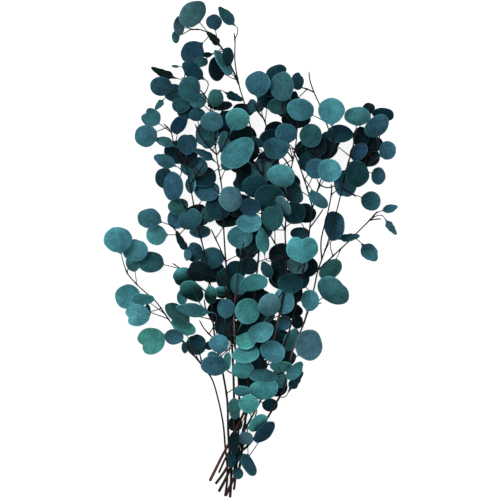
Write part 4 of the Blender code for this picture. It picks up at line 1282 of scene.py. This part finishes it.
@dataclass(frozen=True)
class Blades:
    """Builds leaves in fine detail: a round blade with a waved edge, its stalk, and the midrib it becomes.

    Lengths are in millimetres or in leaf radii, and pairs of numbers are ranges that a leaf draws from.
    """

    sectors: int = 40
    rings: tuple = (0.26, 0.52, 0.74, 0.89, 0.97)
    thickness: float = 0.5
    lowest: float = 0.05
    flat_below: float = 12.0
    rim_reach: float = 1.01
    base_reach: float = 1.08
    base_width: float = 0.13
    notch_width: float = 0.24
    heart_depth: float = 0.11
    heart_width: float = 0.16
    wave_counts: tuple = (2, 3, 5)
    wave_sizes: Pair = (0.2, 1.0)
    wave_height: float = 0.028
    wave_heights: Pair = (0.4, 1.0)
    unevenness: float = 0.02
    folds: tuple = (0.0, 0.0, 0.05, 0.09)
    ridge: float = 0.12
    lights: Pair = (0.93, 1.07)
    # Painted shade and light on each blade: darker towards one random side, lighter towards the tip
    blues: Pair = (-0.05, 0.05)
    painted_shade_falls: Pair = (0.08, 0.36)
    tip_light: float = 0.14
    painted_shade_slope: float = 0.3
    # Painted shade on the folded teal leaves: light at the upper left, near black at the lower right
    painted_shade_least: float = 0.15
    painted_shade_gain: float = 1.9
    painted_shade_from: float = 0.3
    painted_shade_width: float = 1.1
    painted_shade_power: float = 1.5
    under_gain: float = 0.75
    under_least: float = 0.002
    stalk_sides: int = 6
    stalk_steps: int = 7
    stalk_lead: float = 0.45
    stalk_radius: float = 0.52
    root_swelling: float = 0.2
    stalk_gain: float = 0.9
    dyed_rate: float = 1.6
    dyed_from: float = 0.6
    midrib_steps: int = 7
    midrib_end: float = 0.72
    midrib_radius: float = 0.46
    midrib_taper: float = 0.35
    midrib_gain: float = 1.15
    midrib_least: float = 0.004
    bark_brown: Colour = (0.014, 0.010, 0.011)

    def add_leaf(self, leaf: Leaf, seed: str, draft: MeshDraft) -> None:
        """Adds a leaf's blade and stalk.

        Args:
            leaf: The leaf's place.
            seed: What its random draws start from.
            draft: The mesh that it is added to.
        """
        source = random.Random(seed)
        waves = [
            (k, source.uniform(0.0, FULL_TURN), source.uniform(*self.wave_sizes)) for k in self.wave_counts
        ]
        wave_height = self.wave_height * leaf.radius * source.uniform(*self.wave_heights)
        fold = source.choice(self.folds)
        light = source.uniform(*self.lights)
        blue = source.uniform(*self.blues)
        red, green, deep = leaf.dye.value
        colour = (red * light, green * light * (1 - blue), deep * light * (1 + blue))
        pressed = leaf.normal.z > LEVEL_FACING

        def height(u: float, v: float, share: float) -> float:
            """How far the blade's middle stands off its plane.

            Args:
                u: How far along the blade the point is.
                v: How far across it.
                share: Its share of the way to the rim.

            Returns:
                The distance.
            """
            angle = math.atan2(v, u)
            wave = sum(size * math.sin(k * angle + phase) for k, phase, size in waves) / 2
            ridge = math.sqrt(v * v + (self.ridge * leaf.radius) ** 2) - self.ridge * leaf.radius
            extra = 0.0 if pressed else wave * wave_height * share ** 3 + fold * ridge
            extra *= min(1.0, leaf.centre.z / self.flat_below)
            return Arrangement.lift(leaf, u, v) + extra * min(1.0, (1.0 + u / leaf.radius) * 2)

        def reach(angle: float) -> float:
            """How far the outline is from the centre.

            Args:
                angle: The angle from the tip.

            Returns:
                The distance, as a share of the radius.
            """
            uneven = sum(size * math.cos(k * angle + phase) for k, phase, size in waves)
            form = leaf.form.reach(math.degrees(angle), True)
            to_base = (math.pi - abs(angle)) / self.base_width
            base = (self.base_reach - self.rim_reach * form) * math.exp(-to_base ** 2)
            notch = leaf.notch * math.exp(-(angle / self.notch_width) ** 2)
            if leaf.form is HEART:
                notch += self.heart_depth * math.exp(-abs(angle) / self.heart_width)
            return self.rim_reach * form * (1 + self.unevenness * uneven) + base - notch

        self.add_blade(leaf, height, reach, colour, draft)
        self.add_stalk(leaf, height, colour, draft)

    def add_blade(
        self, leaf: Leaf, height: Callable, reach: Callable, colour: Colour, draft: MeshDraft
    ) -> None:
        """Adds the blade, its two faces joined by a rounded rim.

        Args:
            leaf: The leaf.
            height: The blade's form, by place and by share of the way to the rim.
            reach: The outline, by angle from the tip.
            colour: The leaf's own dye.
            draft: The mesh that it is added to.
        """
        beside = leaf.normal.cross(leaf.heading)
        angles = [FULL_TURN * k / self.sectors - math.pi for k in range(self.sectors)]
        # Painted shade: the side that each blade darkens towards, and by how much
        source = random.Random(f"{leaf.root.x:.3f}")
        fall = source.uniform(*self.painted_shade_falls)
        turn = source.uniform(0.0, FULL_TURN)
        painted_light_side = (math.cos(turn), math.sin(turn))
        under_colour = tuple(self.under_gain * value + self.under_least for value in colour)
        vertices = []
        growth = []
        dye = []

        def add_point(share: float, angle: float, side: float) -> None:
            """Adds one vertex.

            Args:
                share: Its share of the way to the rim.
                angle: Its angle from the tip.
                side: 1 on the upper face, 0 on the rim and -1 on the lower face.
            """
            radius = leaf.radius * reach(angle) * share
            u = radius * math.cos(angle)
            v = radius * math.sin(angle)
            off = height(u, v, share) + side * self.thickness / 2
            point = leaf.centre + leaf.heading * u + beside * v + leaf.normal * off
            above = side * math.copysign(1.0, leaf.normal.z)
            point.z = max(point.z, self.lowest + (1.0 + above) * self.thickness / 2)
            vertices.append(point)
            along, across = u / leaf.radius, v / leaf.radius
            growth.append((along, across, share))
            # Painted shade and light: lighter at the tip, darker at the base and towards one random side
            shade = 1.0 + self.tip_light * along + fall * (along * painted_light_side[0] + across * painted_light_side[1])
            # Painted shade for folded leaves: near black inside, lighter towards the upper left
            if leaf.dye is DUSK:
                away = point - leaf.centre
                upward = (away.y - self.painted_shade_slope * away.x) / leaf.radius
                lit = min(1.0, max(0.0, (upward + self.painted_shade_from) / self.painted_shade_width))
                shade = self.painted_shade_least + self.painted_shade_gain * lit ** self.painted_shade_power
            dye.append(tuple(value * shade for value in (colour if side >= 0 else under_colour)))

        for side in (1.0, -1.0):
            add_point(0.0, 0.0, side)
            for share in self.rings:
                for angle in angles:
                    add_point(share, angle, side)
        for angle in angles:
            add_point(1.0, angle, 0.0)
        per_face = 1 + len(self.rings) * self.sectors
        faces = []
        for start, turned in ((0, False), (per_face, True)):
            rows = [start + 1 + ring * self.sectors for ring in range(len(self.rings))] + [2 * per_face]
            for k in range(self.sectors):
                after = (k + 1) % self.sectors
                made = [(start, rows[0] + k, rows[0] + after)]
                for inner, outer in zip(rows, rows[1:]):
                    made.append((inner + k, outer + k, outer + after, inner + after))
                faces += [tuple(reversed(face)) for face in made] if turned else made
        draft.add((vertices, faces), growth, dye)

    def add_stalk(self, leaf: Leaf, height: Callable, colour: Colour, draft: MeshDraft) -> None:
        """Adds the stalk, which runs on into the blade as its midrib.

        Args:
            leaf: The leaf.
            height: The blade's form.
            colour: The leaf's own dye.
            draft: The mesh that it is added to.
        """
        at_base = -leaf.radius * self.base_reach
        base = leaf.centre + leaf.heading * at_base + leaf.normal * height(at_base, 0.0, 1.0)
        control = base - leaf.heading * (base - leaf.root).length * self.stalk_lead
        points = []
        radii = []
        colours = []
        for i in range(self.stalk_steps):
            t = i / self.stalk_steps
            points.append(leaf.root * (1 - t) ** 2 + control * 2 * t * (1 - t) + base * t * t)
            radii.append(self.stalk_radius + self.root_swelling * (1 - t) ** 4)
            share = max(0.0, self.dyed_rate * t - self.dyed_from)
            dyed = tuple(self.stalk_gain * value for value in colour)
            colours.append(between(self.bark_brown, dyed, share))
        for i in range(self.midrib_steps + 1):
            t = i / self.midrib_steps
            u = at_base + (leaf.radius * self.midrib_end - at_base) * t
            share = min(abs(u) / leaf.radius, 1.0)
            points.append(leaf.centre + leaf.heading * u + leaf.normal * height(u, 0.0, share))
            radii.append(self.midrib_radius - self.midrib_taper * t)
            colours.append(tuple(self.midrib_gain * value + self.midrib_least for value in colour))
        for point, radius in zip(points, radii):
            point.z = max(point.z, self.lowest + radius)
        dye = [value for value in colours for _ in range(self.stalk_sides)]
        growth = [(i / len(points), 0.0, 0.0) for i in range(len(points)) for _ in range(self.stalk_sides)]
        draft.add(tube(points, radii, self.stalk_sides), growth, dye, 1)


@dataclass(frozen=True)
class Stems:
    """Builds a branch's stem and twigs as round shoots that swell where a stalk leaves them."""

    sides: int = 10
    twig_sides: int = 8
    step: float = 2.4
    slim: float = 0.46
    thinnest: float = 0.66
    taper_power: float = 1.7
    tip_share: float = 0.35
    swelling: float = 0.3
    swelling_length: float = 1.6
    cut_slant: float = 0.7
    pith_reach: float = 0.5
    old_bark: Colour = (0.020, 0.012, 0.011)
    young_bark: Colour = (0.005, 0.007, 0.009)
    old_length: float = 260.0
    # A pale pinkish band partway along the stem: a painted highlight
    highlight_bark: Colour = (0.13, 0.095, 0.09)
    highlight_at: float = 160.0
    highlight_length: float = 22.0
    painted_highlight_share: float = 0.0

    def route(self, rows: tuple) -> list[Vector]:
        """A smooth route through the rows of the layout.

        Args:
            rows: The points on the sheet.

        Returns:
            Points every few millimetres.
        """
        knots = [on_sheet(row) for row in rows]
        padded = [knots[0] * 2 - knots[1], *knots, knots[-1] * 2 - knots[-2]]
        points = []
        for a, b, c, d in zip(padded, padded[1:], padded[2:], padded[3:]):
            count = max(1, round((c - b).length / self.step))
            start = (c - a) / 2
            end = (d - b) / 2
            for i in range(count):
                t = i / count
                points.append(
                    b * (2 * t ** 3 - 3 * t ** 2 + 1) + c * (3 * t ** 2 - 2 * t ** 3)
                    + start * (t ** 3 - 2 * t ** 2 + t) + end * (t ** 3 - t ** 2)
                )
        points.append(knots[-1])
        return points

    def bark(self, length: float, cut: bool) -> Colour:
        """The bark's colour, with a pale band of painted highlight partway along a stem.

        Args:
            length: How far along the shoot it is read.
            cut: Whether the shoot is a stem with a cut end.

        Returns:
            The colour.
        """
        if not cut:
            return self.young_bark
        bark = between(self.old_bark, self.young_bark, min(1.0, length / self.old_length))
        # Painted highlight: a pale band centred partway along the stem
        highlighted = self.painted_highlight_share * math.exp(-((length - self.highlight_at) / self.highlight_length) ** 2)
        return between(bark, self.highlight_bark, highlighted)

    def add_shoot(
        self, rows: tuple, diameters: Pair, roots: list[Vector], cut: bool, draft: MeshDraft
    ) -> None:
        """Adds one stem or twig.

        Args:
            rows: Its points on the sheet.
            diameters: Its diameter where it starts and at its tip.
            roots: Where leaf stalks leave the branch.
            cut: Whether it is a stem, which starts with a cut end.
            draft: The mesh that it is added to.
        """
        sides = self.sides if cut else self.twig_sides
        first, last = diameters
        points = self.route(rows)
        count = len(points)
        radii = []
        dye = []
        growth = []
        length = 0.0
        for i, point in enumerate(points):
            if i:
                length += (point - points[i - 1]).length
            radius = (last + (first - last) * (1 - i / (count - 1)) ** self.taper_power) * self.slim
            near = min(((point - root).length for root in roots), default=math.inf)
            swelling = self.swelling * math.exp(-(near / self.swelling_length) ** 2)
            radius = max(radius, self.thinnest) + swelling
            radii.append(radius * (self.tip_share if i == count - 1 else 1.0))
            dye += [self.bark(length, cut)] * sides
            turns = [FULL_TURN * k / sides for k in range(sides)]
            growth += [(length, math.cos(turn), math.sin(turn)) for turn in turns]
        vertices, faces = tube(points, radii, sides)
        if cut:
            ahead = (points[1] - points[0]).normalized()
            for k in range(sides):
                off = vertices[k] - points[0]
                vertices[k] = vertices[k] - ahead * self.cut_slant * off.z
            faces = faces[:-2] + faces[-1:]
        draft.add((vertices, faces), growth, dye)
        if cut:
            self.add_cut(vertices[:sides], points[0], dye[0], draft)

    def add_cut(self, corners: list[Vector], middle: Vector, colour: Colour, draft: MeshDraft) -> None:
        """Adds the wood of a cut end inside the first ring of a stem.

        Args:
            corners: The ring's vertices.
            middle: The ring's middle.
            colour: The bark's colour there.
            draft: The mesh that it is added to.
        """
        sides = len(corners)
        inner = [middle.lerp(corner, self.pith_reach) for corner in corners]
        vertices = [*corners, *inner, middle]
        faces = []
        for k in range(sides):
            after = (k + 1) % sides
            faces.append((after, k, sides + k, sides + after))
            faces.append((sides + after, sides + k, 2 * sides))
        growth = [(1.0, 0.0, 0.0)] * sides + [(self.pith_reach, 0.0, 0.0)] * sides + [(0.0, 0.0, 0.0)]
        draft.add((vertices, faces), growth, [colour] * len(vertices), 1)


@dataclass
class LeafyBranch:
    """One branch of the bunch: a piece for its stem and twigs, and a piece for its leaves."""

    branch: Branch
    leaves: list[Leaf]
    twig_diameter: float = 1.7
    tip_diameter: float = 1.3
    blades: Blades = field(default_factory=Blades)
    stems: Stems = field(default_factory=Stems)

    def build(self, skin: list[bpy.types.Material], bark: list[bpy.types.Material]) -> None:
        """Builds and dresses both pieces.

        Args:
            skin: The materials of the blades and the stalks.
            bark: The materials of the bark and the cut wood.
        """
        short = self.branch.name.removeprefix("branch_")
        roots = [leaf.root for leaf in self.leaves]
        wood = MeshDraft()
        self.stems.add_shoot(self.branch.stem, (self.branch.diameter, self.tip_diameter), roots, True, wood)
        for route in self.branch.twigs:
            self.stems.add_shoot(route, (self.twig_diameter, self.tip_diameter), roots, False, wood)
        foliage = MeshDraft()
        for index, leaf in enumerate(self.leaves):
            self.blades.add_leaf(leaf, f"{short} {index}", foliage)
        for piece in (wood.piece(f"{short}_stems", bark), foliage.piece(f"{short}_leaves", skin)):
            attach(piece, "root")
            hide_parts(self.branch.name)
            LOG.info("%s: %d faces", piece.name, len(piece.data.polygons))


@dataclass(frozen=True)
class Lamp:
    """A soft square light that faces the bunch: its place and size in metres and its power in watts."""

    name: str
    place: tuple[float, float, float]
    size: float
    power: float

    def build(self) -> None:
        """Hangs the light."""
        light = bpy.data.lights.new(self.name, "AREA")
        light.size = self.size
        light.energy = self.power
        holder = bpy.data.objects.new(self.name, light)
        holder.location = self.place
        holder.rotation_euler = Vector(self.place).to_track_quat("Z", "Y").to_euler()
        bpy.context.scene.collection.objects.link(holder)


@dataclass(frozen=True)
class Studio:
    """The floor, the soft lights and the camera that looks straight down, in metres."""

    floor_size: float = 12.0
    floor_drop: float = 0.0004
    floor_colour: Colour = (0.25, 0.25, 0.25, 1.0)
    floor_roughness: float = 0.9
    floor_grain: float = 400.0
    floor_relief: Pair = (0.02, 0.0002)
    white: Colour = (1.0, 1.0, 1.0, 1.0)
    sky: float = 0.46
    paper_glow: float = 0.88
    lamps: tuple[Lamp, ...] = (
        Lamp("key", (-0.9, 0.8, 1.9), 1.3, 46.0),
        Lamp("fill", (1.3, -0.6, 1.7), 1.6, 16.0),
    )
    view_width: float = 0.5
    focal_length: float = 300.0
    sensor: float = 36.0
    farthest: float = 100.0
    view_height: float = 0.025
    photo_middle: tuple = (250.0, 250.0, 0.0)

    def build(self) -> None:
        """Sets up the whole studio."""
        self.floor()
        self.lights()
        self.camera()
        bpy.context.scene.view_settings.view_transform = "Standard"

    def floor(self) -> None:
        """A plain white sheet under the bunch."""
        half = self.floor_size / 2
        corners = [(-half, -half), (half, -half), (half, half), (-half, half)]
        mesh = bpy.data.meshes.new("floor")
        mesh.from_pydata([(x, y, -self.floor_drop) for x, y in corners], [], [(0, 1, 2, 3)])
        bench = Bench("floor_paper")
        bench.feed(bench.shader, "Emission Color", self.white)
        bench.feed(bench.shader, "Emission Strength", self.paper_glow)
        grain = bench.noise(bench.place(), self.floor_grain)
        mesh.materials.append(bench.finish(self.floor_colour, self.floor_roughness, grain, self.floor_relief))
        floor = bpy.data.objects.new("floor", mesh)
        bpy.context.scene.collection.objects.link(floor)

    def lights(self) -> None:
        """A large soft light from the upper left, a weaker one opposite, and an even sky."""
        world = bpy.data.worlds.new("studio")
        world.use_nodes = True
        background = world.node_tree.nodes["Background"]
        background.inputs["Color"].default_value = self.white
        background.inputs["Strength"].default_value = self.sky
        bpy.context.scene.world = world
        for lamp in self.lamps:
            lamp.build()

    def camera(self) -> None:
        """The camera straight above, far enough off that the nearest leaves aren't enlarged."""
        lens = bpy.data.cameras.new("camera")
        lens.lens = self.focal_length
        lens.sensor_width = self.sensor
        lens.clip_end = self.farthest
        middle = on_sheet(self.photo_middle) * MM
        holder = bpy.data.objects.new("camera", lens)
        distance = self.view_width * self.focal_length / self.sensor
        holder.location = (middle.x, middle.y, self.view_height + distance)
        bpy.context.scene.collection.objects.link(holder)
        bpy.context.scene.camera = holder


def main() -> None:
    """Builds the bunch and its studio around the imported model."""
    logging.basicConfig(level=logging.INFO, format="%(name)s: %(message)s")
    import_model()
    Studio().build()
    arrangement = Arrangement(BRANCHES)
    arrangement.arrange()
    skin = [LeafFinish().material(), StalkFinish().material()]
    bark = [BarkFinish().material(), CutWoodFinish().material()]
    # The reddish old bark is the stem's own; the pale bands on these stems are painted highlights
    reddish = Stems(old_bark=(0.070, 0.026, 0.022), old_length=110.0, painted_highlight_share=0.5)
    highlighted = Stems(painted_highlight_share=0.7)
    kinds = {"branch_top_centre": reddish, "branch_right": highlighted, "branch_centre_left": highlighted}
    for branch in arrangement.branches:
        stems = kinds.get(branch.name, Stems())
        LeafyBranch(branch, arrangement.leaves[branch.name], stems=stems).build(skin, bark)
    bpy.context.view_layer.update()


if __name__ == "__main__":
    main()
